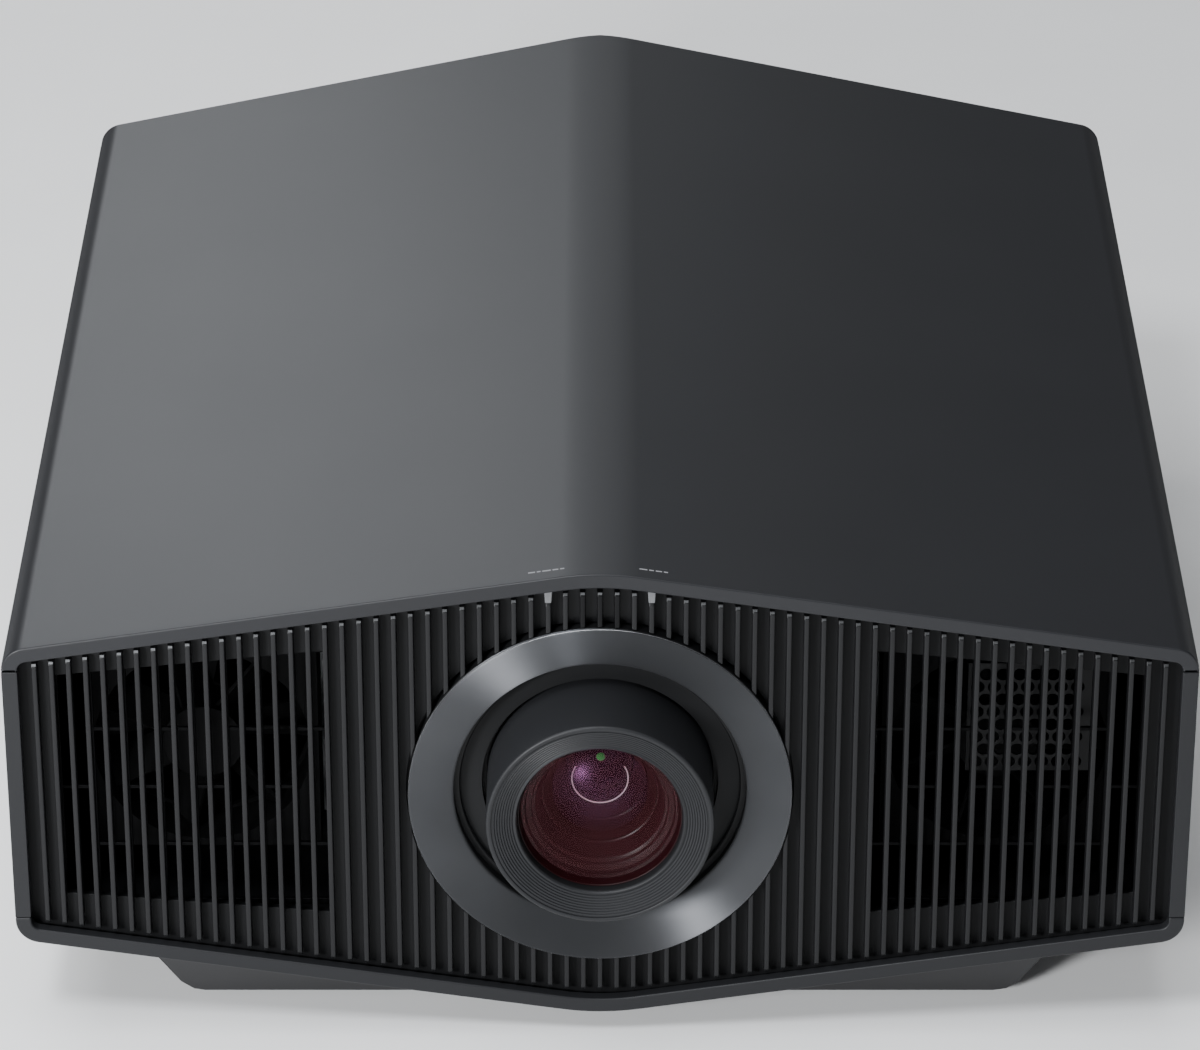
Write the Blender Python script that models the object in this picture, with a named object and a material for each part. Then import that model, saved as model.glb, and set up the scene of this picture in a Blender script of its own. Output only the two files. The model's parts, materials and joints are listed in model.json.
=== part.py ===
"""Home projector: a hexagonal casing with a finned front, a powered lens that shifts, and the works inside.

Metres, +Z up. The front faces -Y. The origin is on the floor, under the middle of the bounding box.
Most pieces are laid out from the casing datum: the point where the lens axis crosses the front plane.
In those pieces x is across, y is the depth behind the front plane and z is the height above the lens axis.
"""

import math

import bmesh
import bpy
from mathutils import Matrix, Vector

MM = 0.001

# Casing
HALF_WIDTH = 230.0 * MM
SIDE_DEPTH = 487.5 * MM
REAR_PROW = 29.4 * MM
RIDGE_RISE = 100.4 * MM
ROOF_SLOPE = 0.1522
CORNER_RADIUS = 10.0 * MM
RIDGE_RADIUS = 100.0 * MM
WALL = 3.0 * MM
LIP = 6.2 * MM
LIP_DEPTH = 5.0 * MM
EDGE_CHAMFER = 1.0 * MM
SEAM_TOP = 56.4 * MM
SEAM_BOTTOM = -54.9 * MM
PANEL_PROUD = 0.5 * MM
GAP = 0.3 * MM
CUT_PAST = 10.0 * MM

# Height above the floor and place of the casing datum
AXIS_HEIGHT = 110.75 * MM
BARREL_REACH = 20.5 * MM
FRONT_Y = -(SIDE_DEPTH + REAR_PROW - BARREL_REACH) / 2
DATUM = Vector((0.0, FRONT_Y, AXIS_HEIGHT))

# Base plinth and feet
PLINTH_BOTTOM = -108.5 * MM
PLINTH_FRONT = 30.0 * MM
PLINTH_BACK = 460.0 * MM
PLINTH_HALF_WIDTH = 165.4 * MM
PLINTH_FLARE = 0.764
FOOT_X = 140.0 * MM
FOOT_FRONT = 62.0 * MM
FOOT_BACK = 428.0 * MM
FOOT_RADIUS = 15.0 * MM
FOOT_BOTTOM = -AXIS_HEIGHT
FOOT_TOP = -105.0 * MM
FOOT_SCREW_RADIUS = 4.0 * MM
FOOT_SCREW_TOP = -84.0 * MM

# Front grille
FIN_PITCH = 6.592 * MM
FINS_EACH_SIDE = 33
FIN_WIDTH = 2.0 * MM
FIN_FRONT = 2.0 * MM
FIN_END_CLEAR = 2.4 * MM
BACKING_FRONT = 7.0 * MM
BACKING_BACK = 10.0 * MM
GRILLE_HOLE_RADIUS = 75.3 * MM
WINDOW_INNER_X = 105.0 * MM
WINDOW_OUTER_X = 210.0 * MM
LATTICE_FRONT = 16.0 * MM
LATTICE_BACK = 18.0 * MM
LATTICE_BAR = 1.5 * MM
LATTICE_ROWS = (21.6 * MM, -4.6 * MM, -30.8 * MM)
LATTICE_HALF_HEIGHT = 59.0 * MM
LATTICE_FIRST_FIN = 14
LIGHT_FIN = 3
LIGHT_BOTTOM = 85.8 * MM
LIGHT_HALF_WIDTHS = (1.2 * MM, 1.55 * MM)

# Punched screen behind the right guard
SCREEN_X = (143.0 * MM, 192.0 * MM)
SCREEN_Y = (24.0 * MM, 25.2 * MM)
SCREEN_Z = (-2.0 * MM, 47.0 * MM)
SCREEN_PITCH = 9.0 * MM
SCREEN_HOLE = 3.4 * MM
SCREEN_MARGIN = (4.5 * MM, 5.0 * MM)
SCREEN_COLUMNS = 5

# Lens
RING_RADIUS = 74.65 * MM
RING_BORE = 57.1 * MM
SHROUD_RADIUS = 84.0 * MM
SHROUD_BORE = 54.6 * MM
SHROUD_LIP = 2.2 * MM
SHROUD_TUBE = 71.2 * MM
SHROUD_BACK = 28.0 * MM
BARREL_RADIUS = 44.3 * MM
SKIRT_RADIUS = 62.8 * MM
SKIRT_GAP = 0.6 * MM
SKIRT_THICK = 1.4 * MM
GLASS_RADIUS = 31.7 * MM
TUBE_RADIUS = 40.0 * MM
SHIFT_UP = 6.5 * MM
SHIFT_SIDE = 4.5 * MM
CARRIAGE_FRONT = 96.0 * MM
CARRIAGE_BACK = 104.0 * MM
FRAME_FRONT = 106.0 * MM
FRAME_BACK = 114.0 * MM
BASE_FRONT = 116.0 * MM
BASE_BACK = 124.0 * MM
LEAD_SCREW_RADIUS = 3.0 * MM
RUNNING_GAP = 0.3 * MM
UPRIGHT_SCREW_X = 108.0 * MM
UPRIGHT_SCREW_Y = 107.0 * MM
CROSS_SCREW_Y = 100.0 * MM
CROSS_SCREW_Z = 72.0 * MM
RAIL_Z = (62.5 * MM, 66.0 * MM)

# Focus and zoom gearing
GEAR_MODULE = 1.5 * MM
RING_TEETH = 64
PINION_TEETH = 12
ADDENDUM = 0.9 * GEAR_MODULE
DEDENDUM = 1.2 * GEAR_MODULE
RING_TOOTH = (3.0 * MM, 1.2 * MM)
PINION_TOOTH = (2.2 * MM, 1.1 * MM)
MOTOR_RADIUS = 11.0 * MM
SHAFT_RADIUS = 2.0 * MM
SECTOR_HALF_TEETH = 9
GEAR_CENTRES = GEAR_MODULE * (RING_TEETH + PINION_TEETH) / 2
FOCUS_ANGLE = math.radians(45.0)
ZOOM_ANGLE = math.radians(135.0)
FOCUS_SPAN = (41.0 * MM, 56.0 * MM)
ZOOM_SPAN = (61.0 * MM, 76.0 * MM)
MOTOR_SPAN = (79.0 * MM, CARRIAGE_FRONT - GAP)

# Rear
REAR_RECESS = 4.0 * MM
REAR_PLATE = 3.0 * MM
REAR_CUT = (470.0 * MM, 530.0 * MM)
SLOT_WIDTH = 3.4 * MM
SLOT_PITCH = 8.0 * MM
FILTER_X = (78.0 * MM, 202.0 * MM)
FILTER_HALF_HEIGHT = 44.0 * MM

# Works behind the lens
BLOCK_LOW = (-60.0 * MM, 132.0 * MM, -50.0 * MM)
BLOCK_HIGH = (60.0 * MM, 236.0 * MM, 44.0 * MM)
BLOCK_WALL = 6.0 * MM
PRISM_HALF = 18.0 * MM
PRISM_DEPTH = 185.0 * MM
PANEL_GAP = 4.0 * MM
PANEL_THICK = 5.0 * MM
WHEEL_PLACE = (76.0 * MM, 300.0 * MM, -8.0 * MM)
WHEEL_RADIUS = 34.0 * MM
SOURCE_LOW = (84.0 * MM, 250.0 * MM, -52.0 * MM)
SOURCE_HIGH = (200.0 * MM, 400.0 * MM, 28.0 * MM)
SINK_RIGHT = -86.0 * MM
SINK_Y = (255.0 * MM, 390.0 * MM)
SINK_Z = (-50.0 * MM, 34.0 * MM)
SINK_BASE = 8.0 * MM
SINK_PITCH = 9.0 * MM
SINK_FIN = 2.4 * MM
SINK_FINS = 13
SUPPLY_LOW = (-190.0 * MM, 402.0 * MM, -56.0 * MM)
SUPPLY_HIGH = (-60.0 * MM, 478.0 * MM, 30.0 * MM)
BOARD_Z = 50.0 * MM
BOARD_THICK = 1.6 * MM

# Left side terminals and right side buttons
TERMINAL_DEPTH = (300.0 * MM, 470.0 * MM)
TERMINAL_HEIGHT = (-34.0 * MM, 8.0 * MM)
TERMINAL_PLATE_X = (-225.5 * MM, -224.0 * MM)
TERMINAL_Z = -13.0 * MM
INLET_DEPTH = 442.0 * MM
INLET_HALF = (14.0 * MM, 10.5 * MM)
INLET_MOUTH_HALF = (12.0 * MM, 8.5 * MM)
INLET_X = (-226.5 * MM, -200.0 * MM)
INLET_FLOOR_X = -209.0 * MM
PIN_TIP_X = -219.0 * MM
HDMI_DEPTHS = (330.0 * MM, 360.0 * MM)
HDMI_HALF = (7.7 * MM, 3.3 * MM)
HDMI_MOUTH_HALF = (7.0 * MM, 2.6 * MM)
HDMI_X = (-226.1 * MM, -212.0 * MM)
BUTTON_Z = -8.0 * MM
BUTTONS = (
    ("power_button", 350.0 * MM, 5.0 * MM),
    ("menu_button", 375.0 * MM, 4.0 * MM),
    ("cursor_pad", 405.0 * MM, 11.0 * MM),
)

# Cooling
FAN_HALF = 46.0 * MM
FAN_X = 157.0 * MM
FAN_SPAN = (40.0 * MM, 65.0 * MM)
FAN_BORE = 43.0 * MM
BLADES = 7
BLADE_TILT = math.radians(38.0)
ROTOR_HUB = 16.0 * MM
SPOKE_HUB = 17.0 * MM

TALL = math.sqrt(1.0 + ROOF_SLOPE**2)
ROOF_ANGLE = math.atan(ROOF_SLOPE)
REAR_ANGLE = math.atan(REAR_PROW / HALF_WIDTH)


# ---------------------------------------------------------------- materials

def finish(name, colour, roughness, metallic=0.0):
    made = bpy.data.materials.new(name)
    made.use_nodes = True
    shader = made.node_tree.nodes["Principled BSDF"]
    shader.inputs["Base Color"].default_value = (*colour, 1.0)
    shader.inputs["Roughness"].default_value = roughness
    shader.inputs["Metallic"].default_value = metallic
    made.diffuse_color = (*colour, 1.0)
    return made


def make_finishes():
    return {
        "casing": finish("casing", (0.055, 0.057, 0.063), 0.45),
        "grille": finish("grille", (0.018, 0.018, 0.019), 0.5),
        "trim": finish("trim", (0.16, 0.165, 0.175), 0.32, 0.9),
        "barrel": finish("barrel", (0.022, 0.023, 0.025), 0.6),
        "black": finish("black", (0.012, 0.012, 0.013), 0.65),
        "glass": finish("glass", (0.12, 0.012, 0.02), 0.05),
        "light": finish("light", (0.75, 0.76, 0.78), 0.35),
        "rubber": finish("rubber", (0.02, 0.02, 0.02), 0.85),
        "steel": finish("steel", (0.55, 0.56, 0.57), 0.35, 1.0),
        "alloy": finish("alloy", (0.45, 0.46, 0.47), 0.45, 0.9),
        "brass": finish("brass", (0.62, 0.48, 0.2), 0.35, 1.0),
        "board": finish("board", (0.03, 0.16, 0.06), 0.5),
        "filter": finish("filter", (0.35, 0.36, 0.36), 0.95),
        "gear": finish("gear", (0.6, 0.58, 0.52), 0.5),
    }


# ---------------------------------------------------------------- solids

def solid(name, mesh_edit, origin=DATUM):
    """An object from a bmesh whose points are measured from the origin given."""
    bmesh.ops.recalc_face_normals(mesh_edit, faces=mesh_edit.faces)
    mesh = bpy.data.meshes.new(name)
    mesh_edit.to_mesh(mesh)
    mesh_edit.free()
    made = bpy.data.objects.new(name, mesh)
    made.location = origin
    bpy.context.scene.collection.objects.link(made)
    return made


def along(axis, u, v, w):
    """The point with w along the axis, and u and v across it in right-handed or XYZ order."""
    if axis == "X":
        return Vector((w, u, v))
    if axis == "Y":
        return Vector((u, w, v))
    return Vector((u, v, w))


def add_prism(mesh_edit, outline, low, high, axis="Y"):
    near = [mesh_edit.verts.new(along(axis, u, v, low)) for u, v in outline]
    far = [mesh_edit.verts.new(along(axis, u, v, high)) for u, v in outline]
    count = len(outline)
    mesh_edit.faces.new(near)
    mesh_edit.faces.new(far[::-1])
    for i in range(count):
        j = (i + 1) % count
        mesh_edit.faces.new((near[j], near[i], far[i], far[j]))


def add_box(mesh_edit, low, high):
    x0, y0, z0 = low
    x1, y1, z1 = high
    add_prism(mesh_edit, [(x0, z0), (x1, z0), (x1, z1), (x0, z1)], y0, y1)


def prism(outline, low, high, axis="Y"):
    made = bmesh.new()
    add_prism(made, outline, low, high, axis)
    return made


def boxes(*corner_pairs):
    made = bmesh.new()
    for low, high in corner_pairs:
        add_box(made, low, high)
    return made


def turned(profile, segments, axis="Y", centre=(0.0, 0.0)):
    """A solid of revolution. The profile lists (radius, distance along the axis).

    It is closed on itself, or starts and ends on the axis.
    """
    made = bmesh.new()
    rings = []
    for radius, distance in profile:
        if radius < 1e-7:
            rings.append([made.verts.new(along(axis, *centre, distance))])
            continue
        ring = []
        for i in range(segments):
            turn = 2.0 * math.pi * i / segments
            u = centre[0] + radius * math.cos(turn)
            v = centre[1] + radius * math.sin(turn)
            ring.append(made.verts.new(along(axis, u, v, distance)))
        rings.append(ring)
    closed = all(radius > 1e-7 for radius, _ in profile)
    pairs = list(zip(rings, rings[1:]))
    if closed:
        pairs.append((rings[-1], rings[0]))
    for first, second in pairs:
        for i in range(segments):
            j = (i + 1) % segments
            if len(first) == 1:
                made.faces.new((first[0], second[j], second[i]))
            elif len(second) == 1:
                made.faces.new((first[i], first[j], second[0]))
            else:
                made.faces.new((first[i], first[j], second[j], second[i]))
    return made


def rod(radius, low, high, segments=24, axis="Y", centre=(0.0, 0.0)):
    return turned([(0.0, low), (radius, low), (radius, high), (0.0, high)], segments, axis, centre)


def combine(target, other_edit, operation):
    """Joins or cuts the target with a second solid, which is measured from the same origin."""
    other = solid("other", other_edit, target.location)
    step = target.modifiers.new("step", "BOOLEAN")
    step.operation = operation
    step.solver = "EXACT"
    step.object = other
    bpy.context.view_layer.update()
    graph = bpy.context.evaluated_depsgraph_get()
    result = bpy.data.meshes.new_from_object(target.evaluated_get(graph))
    target.modifiers.clear()
    target.data = result
    bpy.data.objects.remove(other)
    return target


def cut(target, other_edit):
    return combine(target, other_edit, "DIFFERENCE")


def join(target, other_edit):
    return combine(target, other_edit, "UNION")


def dress(made, material, smooth_angle=None):
    made.data.materials.clear()
    made.data.materials.append(material)
    if smooth_angle:
        made.data.shade_smooth()
        made.data.set_sharp_from_angle(angle=math.radians(smooth_angle))
    return made


# ---------------------------------------------------------------- casing shape

def roof_line(x, inset=0.0):
    """Height of the unrounded roof over a point across, with the surface moved in by inset."""
    return RIDGE_RISE - ROOF_SLOPE * abs(x) - inset * TALL


def rear_depth(x):
    """Depth of the rear edge: the back of the casing is a shallow prow in plan."""
    return SIDE_DEPTH + REAR_PROW * (1.0 - abs(x) / HALF_WIDTH)


def half_roof(inset, seam, corner_steps=5, ridge_steps=3):
    """Points (x, z) with x >= 0 from the seam, round the corner, up to the middle of the ridge."""
    width = HALF_WIDTH - inset
    corner = max(CORNER_RADIUS - inset, 0.8 * MM)
    ridge = RIDGE_RADIUS - inset
    top = roof_line(0.0, inset)
    centre_x = width - corner
    centre_z = top - ROOF_SLOPE * centre_x - corner * TALL
    last = math.pi / 2 - ROOF_ANGLE
    points = [(width, seam)]
    for i in range(corner_steps + 1):
        turn = last * i / corner_steps
        points.append((centre_x + corner * math.cos(turn), centre_z + corner * math.sin(turn)))
    for i in range(ridge_steps + 1):
        turn = last + ROOF_ANGLE * i / ridge_steps
        points.append((ridge * math.cos(turn), top - ridge * TALL + ridge * math.sin(turn)))
    points[-1] = (0.0, points[-1][1])
    return points


def full_roof(inset, seam):
    half = half_roof(inset, seam)
    return half + [(-x, z) for x, z in half[-2::-1]]


def hexagon_half(inset):
    """The right half of the closed section, from the bottom middle to the top middle."""
    upper = half_roof(inset, 0.0)[1:]
    lower = [(x, -z) for x, z in upper[::-1]]
    return lower + upper


def hexagon(inset):
    half = hexagon_half(inset)
    return half + [(-x, z) for x, z in half[-2:0:-1]]


def add_shell(mesh_edit, stations):
    """A bent wall. Each station is (outer points, inner points), with equal counts."""
    rings = []
    for outer, inner in stations:
        outer_ring = [mesh_edit.verts.new(point) for point in outer]
        inner_ring = [mesh_edit.verts.new(point) for point in inner]
        rings.append((outer_ring, inner_ring))
    for (outer_a, inner_a), (outer_b, inner_b) in zip(rings, rings[1:]):
        loop_a = outer_a + inner_a[::-1]
        loop_b = outer_b + inner_b[::-1]
        for i in range(len(loop_a)):
            j = (i + 1) % len(loop_a)
            mesh_edit.faces.new((loop_a[i], loop_a[j], loop_b[j], loop_b[i]))
    for outer, inner in (rings[0], rings[-1]):
        for i in range(len(outer) - 1):
            mesh_edit.faces.new((outer[i], outer[i + 1], inner[i + 1], inner[i]))


def cover(name, seam, sign):
    """The upper or lower casing shell: roof, two rounded corners, and a thick lip round the front."""
    def ring(inset, depth):
        return [Vector((x, depth, sign * z)) for x, z in full_roof(inset, seam)]

    def rear_ring(inset):
        return [Vector((x, rear_depth(x), sign * z)) for x, z in full_roof(inset, seam)]

    stations = [
        (ring(EDGE_CHAMFER, 0.0), ring(LIP, 0.0)),
        (ring(0.0, EDGE_CHAMFER), ring(LIP, EDGE_CHAMFER)),
        (ring(0.0, LIP_DEPTH), ring(LIP, LIP_DEPTH)),
        (ring(0.0, LIP_DEPTH + EDGE_CHAMFER), ring(WALL, LIP_DEPTH)),
        (rear_ring(0.0), rear_ring(WALL)),
    ]
    made = bmesh.new()
    add_shell(made, stations)
    return solid(name, made)


def side_panel(name, sign):
    """A flat panel between the two seams, standing a little proud behind its front lip."""
    low = SEAM_BOTTOM + GAP / 2
    high = SEAM_TOP - GAP / 2
    outer = HALF_WIDTH
    proud = HALF_WIDTH + PANEL_PROUD
    lip_in = HALF_WIDTH - LIP
    wall_in = HALF_WIDTH - WALL
    back = rear_depth(HALF_WIDTH)
    plan = [
        (outer - EDGE_CHAMFER, 0.0),
        (outer, EDGE_CHAMFER),
        (outer, LIP_DEPTH),
        (proud, LIP_DEPTH + PANEL_PROUD),
        (proud, back),
        (wall_in, back),
        (wall_in, LIP_DEPTH),
        (lip_in, LIP_DEPTH),
        (lip_in, 0.0),
    ]
    return solid(name, prism([(sign * x, y) for x, y in plan], low, high, "Z"))


def make_casing(looks):
    dress(cover("top_cover", SEAM_TOP + GAP / 2, 1.0), looks["casing"], 25)
    dress(cover("bottom_cover", -SEAM_BOTTOM + GAP / 2, -1.0), looks["casing"], 25)

    left = side_panel("side_panel_left", -1.0)
    low = (-HALF_WIDTH - CUT_PAST, TERMINAL_DEPTH[0], TERMINAL_HEIGHT[0])
    high = (-HALF_WIDTH + CUT_PAST, TERMINAL_DEPTH[1], TERMINAL_HEIGHT[1])
    cut(left, boxes((low, high)))
    dress(left, looks["casing"])

    right = side_panel("side_panel_right", 1.0)
    for _, depth, radius in BUTTONS:
        hole = rod(radius + GAP, HALF_WIDTH - CUT_PAST, HALF_WIDTH + CUT_PAST, 20, "X", (depth, BUTTON_Z))
        cut(right, hole)
    dress(right, looks["casing"])


# ---------------------------------------------------------------- base and feet

def make_plinth(looks):
    flare = PLINTH_FLARE
    # the flared end meets the underside of the casing where the two slopes cross
    rise = (-RIDGE_RISE - GAP + ROOF_SLOPE * PLINTH_HALF_WIDTH - PLINTH_BOTTOM) / (1.0 - ROOF_SLOPE * flare)
    top_x = PLINTH_HALF_WIDTH + flare * rise
    top_z = PLINTH_BOTTOM + rise
    corner = 7.0 * MM
    half = [
        (PLINTH_HALF_WIDTH - corner, PLINTH_BOTTOM),
        (PLINTH_HALF_WIDTH - 0.25 * corner, PLINTH_BOTTOM + 0.12 * corner),
        (PLINTH_HALF_WIDTH + 0.6 * corner * flare, PLINTH_BOTTOM + 0.6 * corner),
        (top_x, top_z),
    ]
    outline = half + [(0.0, -RIDGE_RISE - GAP)] + [(-x, z) for x, z in half[::-1]]
    plinth = solid("base_plinth", prism(outline, PLINTH_FRONT, PLINTH_BACK))
    floor = PLINTH_BOTTOM + WALL
    above = -60 * MM
    middle = 112 * MM
    hollow = ((-middle, PLINTH_FRONT + WALL, floor), (middle, PLINTH_BACK - WALL, above))
    cut(plinth, boxes(hollow))
    for sign in (-1, 1):
        inner, outer = sorted((sign * (middle - WALL), sign * 166 * MM))
        clear = 28 * MM
        cut(plinth, boxes(((inner, FOOT_FRONT + clear, floor), (outer, FOOT_BACK - clear, above))))
        for depth in (FOOT_FRONT, FOOT_BACK):
            place = (sign * FOOT_X, depth)
            cut(plinth, rod(FOOT_RADIUS + GAP, -115 * MM, FOOT_TOP + GAP, 20, "Z", place))
            cut(plinth, rod(FOOT_SCREW_RADIUS + GAP, -110 * MM, above, 12, "Z", place))
    dress(plinth, looks["black"])


def foot_pad(name, x, depth, looks):
    origin = DATUM + Vector((x, depth, 0.0))
    bore = FOOT_SCREW_RADIUS + GAP
    profile = [
        (0.0, FOOT_BOTTOM),
        (FOOT_RADIUS - 1.0 * MM, FOOT_BOTTOM),
        (FOOT_RADIUS, FOOT_BOTTOM + 1.0 * MM),
        (FOOT_RADIUS, FOOT_TOP),
        (bore, FOOT_TOP),
        (bore, FOOT_BOTTOM + 2.7 * MM),
        (0.0, FOOT_BOTTOM + 2.7 * MM),
    ]
    dress(solid(name, turned(profile, 20, "Z"), origin), looks["rubber"], 40)


def foot_screw(name, x, depth, looks):
    origin = DATUM + Vector((x, depth, 0.0))
    low = FOOT_BOTTOM + 3.0 * MM
    profile = [
        (0.0, low),
        (FOOT_SCREW_RADIUS, low),
        (FOOT_SCREW_RADIUS, FOOT_SCREW_TOP - 1.0 * MM),
        (FOOT_SCREW_RADIUS - 1.0 * MM, FOOT_SCREW_TOP),
        (0.0, FOOT_SCREW_TOP),
    ]
    dress(solid(name, turned(profile, 12, "Z"), origin), looks["steel"], 40)


def make_feet(looks):
    for side, sign in (("left", -1), ("right", 1)):
        foot_pad("foot_pad_front_" + side, sign * FOOT_X, FOOT_FRONT, looks)
        foot_screw("foot_screw_front_" + side, sign * FOOT_X, FOOT_FRONT, looks)
        foot_pad("foot_pad_rear_" + side, sign * FOOT_X, FOOT_BACK, looks)


# ---------------------------------------------------------------- front grille

def window_outline(sign):
    """The air window behind the fins: taller towards the lens, as the casing is."""
    return [
        (sign * WINDOW_OUTER_X, -47.5 * MM),
        (sign * WINDOW_INNER_X, -56.5 * MM),
        (sign * WINDOW_INNER_X, 62.0 * MM),
        (sign * WINDOW_OUTER_X, 51.0 * MM),
    ]


def fin_top(index):
    if abs(index) == LIGHT_FIN:
        return LIGHT_BOTTOM - GAP
    return roof_line(max(abs(index) * FIN_PITCH, 11.0 * MM), LIP + FIN_END_CLEAR)


def make_grille(looks):
    grille = solid("front_grille", prism(hexagon(WALL + GAP), BACKING_FRONT, BACKING_BACK))
    for sign in (-1, 1):
        cut(grille, prism(window_outline(sign), BACKING_FRONT - MM, BACKING_BACK + MM))
    fins = bmesh.new()
    back = BACKING_FRONT + 0.4 * MM
    for index in range(-FINS_EACH_SIDE, FINS_EACH_SIDE + 1):
        top = fin_top(index)
        bottom = -roof_line(max(abs(index) * FIN_PITCH, 11.0 * MM), LIP + FIN_END_CLEAR)
        x = index * FIN_PITCH
        add_box(fins, (x - FIN_WIDTH / 2, FIN_FRONT, bottom), (x + FIN_WIDTH / 2, back, top))
    join(grille, fins)
    cut(grille, rod(GRILLE_HOLE_RADIUS, 0.0, 12 * MM, 48))
    dress(grille, looks["grille"])


def make_lattice(name, sign, looks):
    """A guard of upright bars behind every second fin, tied by short bars laid like bricks."""
    high = LATTICE_HALF_HEIGHT
    border = 2.5 * MM
    x_in = LATTICE_FIRST_FIN * FIN_PITCH + 2 * MM
    x_out = FINS_EACH_SIDE * FIN_PITCH - 2 * MM
    plate = boxes(((x_in, LATTICE_FRONT, -high), (x_out, LATTICE_BACK, high)))
    lattice = solid(name, plate)
    holes = bmesh.new()
    for middle in range(LATTICE_FIRST_FIN + 3, FINS_EACH_SIDE - 1, 2):
        x0 = (middle - 1) * FIN_PITCH + LATTICE_BAR / 2
        x1 = (middle + 1) * FIN_PITCH - LATTICE_BAR / 2
        rows = LATTICE_ROWS[0::2] if middle % 4 == 1 else LATTICE_ROWS[1:2]
        levels = [high - border] + list(rows) + [border - high]
        for upper, lower in zip(levels, levels[1:]):
            top = upper - LATTICE_BAR / 2
            bottom = lower + LATTICE_BAR / 2
            add_box(holes, (x0, LATTICE_FRONT - MM, bottom), (x1, LATTICE_BACK + MM, top))
    cut(lattice, holes)
    if sign < 0:
        lattice.data.transform(Matrix.Scale(-1.0, 4, (1, 0, 0)))
        lattice.data.flip_normals()
    dress(lattice, looks["black"])


def make_perforated_plate(looks):
    """A punched metal screen with staggered holes, behind the right guard."""
    row_pitch = SCREEN_PITCH * math.sqrt(3.0) / 2.0
    low = (SCREEN_X[0], SCREEN_Y[0], SCREEN_Z[0])
    high = (SCREEN_X[1], SCREEN_Y[1], SCREEN_Z[1])
    plate = solid("perforated_plate", boxes((low, high)))
    holes = bmesh.new()
    rows = int((SCREEN_Z[1] - SCREEN_Z[0] - 2 * SCREEN_HOLE) / row_pitch) + 1
    turns = [math.radians(60 * i + 30) for i in range(6)]
    for row in range(rows):
        shift = SCREEN_PITCH / 2 if row % 2 else 0.0
        z = SCREEN_Z[0] + SCREEN_MARGIN[1] + row * row_pitch
        for column in range(SCREEN_COLUMNS):
            x = SCREEN_X[0] + SCREEN_MARGIN[0] + shift + column * SCREEN_PITCH
            ring = [(x + SCREEN_HOLE * math.cos(t), z + SCREEN_HOLE * math.sin(t)) for t in turns]
            add_prism(holes, ring, SCREEN_Y[0] - MM, SCREEN_Y[1] + MM)
    cut(plate, holes)
    dress(plate, looks["steel"])


def make_status_lights(looks):
    """Two clear light guides that cap the fins either side of the ridge."""
    top = roof_line(LIGHT_FIN * FIN_PITCH, LIP) - GAP
    for name, sign in (("status_light_left", -1), ("status_light_right", 1)):
        x = sign * LIGHT_FIN * FIN_PITCH
        outline = [
            (x - LIGHT_HALF_WIDTHS[0], LIGHT_BOTTOM),
            (x + LIGHT_HALF_WIDTHS[0], LIGHT_BOTTOM),
            (x + LIGHT_HALF_WIDTHS[1], top),
            (x - LIGHT_HALF_WIDTHS[1], top),
        ]
        dress(solid(name, prism(outline, FIN_FRONT - 0.2 * MM, BACKING_FRONT - GAP)), looks["light"])


# ---------------------------------------------------------------- lens

def make_trim(looks):
    """The dished trim ring and the dark shroud behind it, both fixed to the casing."""
    ring = [
        (RING_RADIUS, 1.5 * MM),
        (RING_RADIUS - 0.8 * MM, 0.75 * MM),
        (RING_BORE + 0.5 * MM, 4.8 * MM),
        (RING_BORE, 5.4 * MM),
        (RING_BORE, 10.0 * MM),
        (RING_RADIUS, 10.0 * MM),
    ]
    dress(solid("lens_trim_ring", turned(ring, 48)), looks["trim"], 30)
    front = BACKING_BACK + GAP
    shroud = [
        (SHROUD_RADIUS, front),
        (SHROUD_BORE, front),
        (SHROUD_BORE, front + SHROUD_LIP),
        (SHROUD_TUBE, front + SHROUD_LIP),
        (SHROUD_TUBE, SHROUD_BACK),
        (SHROUD_TUBE + SHROUD_LIP, SHROUD_BACK),
        (SHROUD_TUBE + SHROUD_LIP, front + SHROUD_LIP),
        (SHROUD_RADIUS, front + SHROUD_LIP),
    ]
    dress(solid("lens_shroud", turned(shroud, 44)), looks["black"], 30)


def make_barrel(looks):
    """The front barrel, with the skirt that slides behind the shroud's lip as the lens shifts, and the tube."""
    skirt_front = BACKING_BACK + GAP + SHROUD_LIP + SKIRT_GAP
    front = [
        (BARREL_RADIUS, -19.4 * MM),
        (BARREL_RADIUS - 0.7 * MM, -20.3 * MM),
        (BARREL_RADIUS - 1.5 * MM, -BARREL_REACH),
        (GLASS_RADIUS + 0.4 * MM, -16.4 * MM),
        (GLASS_RADIUS + GAP, -15.8 * MM),
        (GLASS_RADIUS + GAP, -6.0 * MM),
        (38.5 * MM, -2.0 * MM),
        (38.5 * MM, 28.0 * MM),
        (BARREL_RADIUS, 28.0 * MM),
        (BARREL_RADIUS, skirt_front + SKIRT_THICK),
        (SKIRT_RADIUS, skirt_front + SKIRT_THICK),
        (SKIRT_RADIUS, skirt_front),
        (BARREL_RADIUS, skirt_front),
    ]
    dress(solid("front_barrel", turned(front, 44)), looks["barrel"], 30)
    tube = [
        (44.0 * MM, 28.3 * MM),
        (44.0 * MM, 40.0 * MM),
        (TUBE_RADIUS, 40.0 * MM),
        (TUBE_RADIUS, 57.0 * MM),
        (42.5 * MM, 57.0 * MM),
        (42.5 * MM, 60.0 * MM),
        (TUBE_RADIUS, 60.0 * MM),
        (TUBE_RADIUS, 129.0 * MM),
        (31.0 * MM, 129.0 * MM),
        (31.0 * MM, 116.0 * MM),
        (36.0 * MM, 108.0 * MM),
        (36.0 * MM, 28.3 * MM),
    ]
    dress(solid("lens_barrel", turned(tube, 32)), looks["black"], 30)


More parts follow.
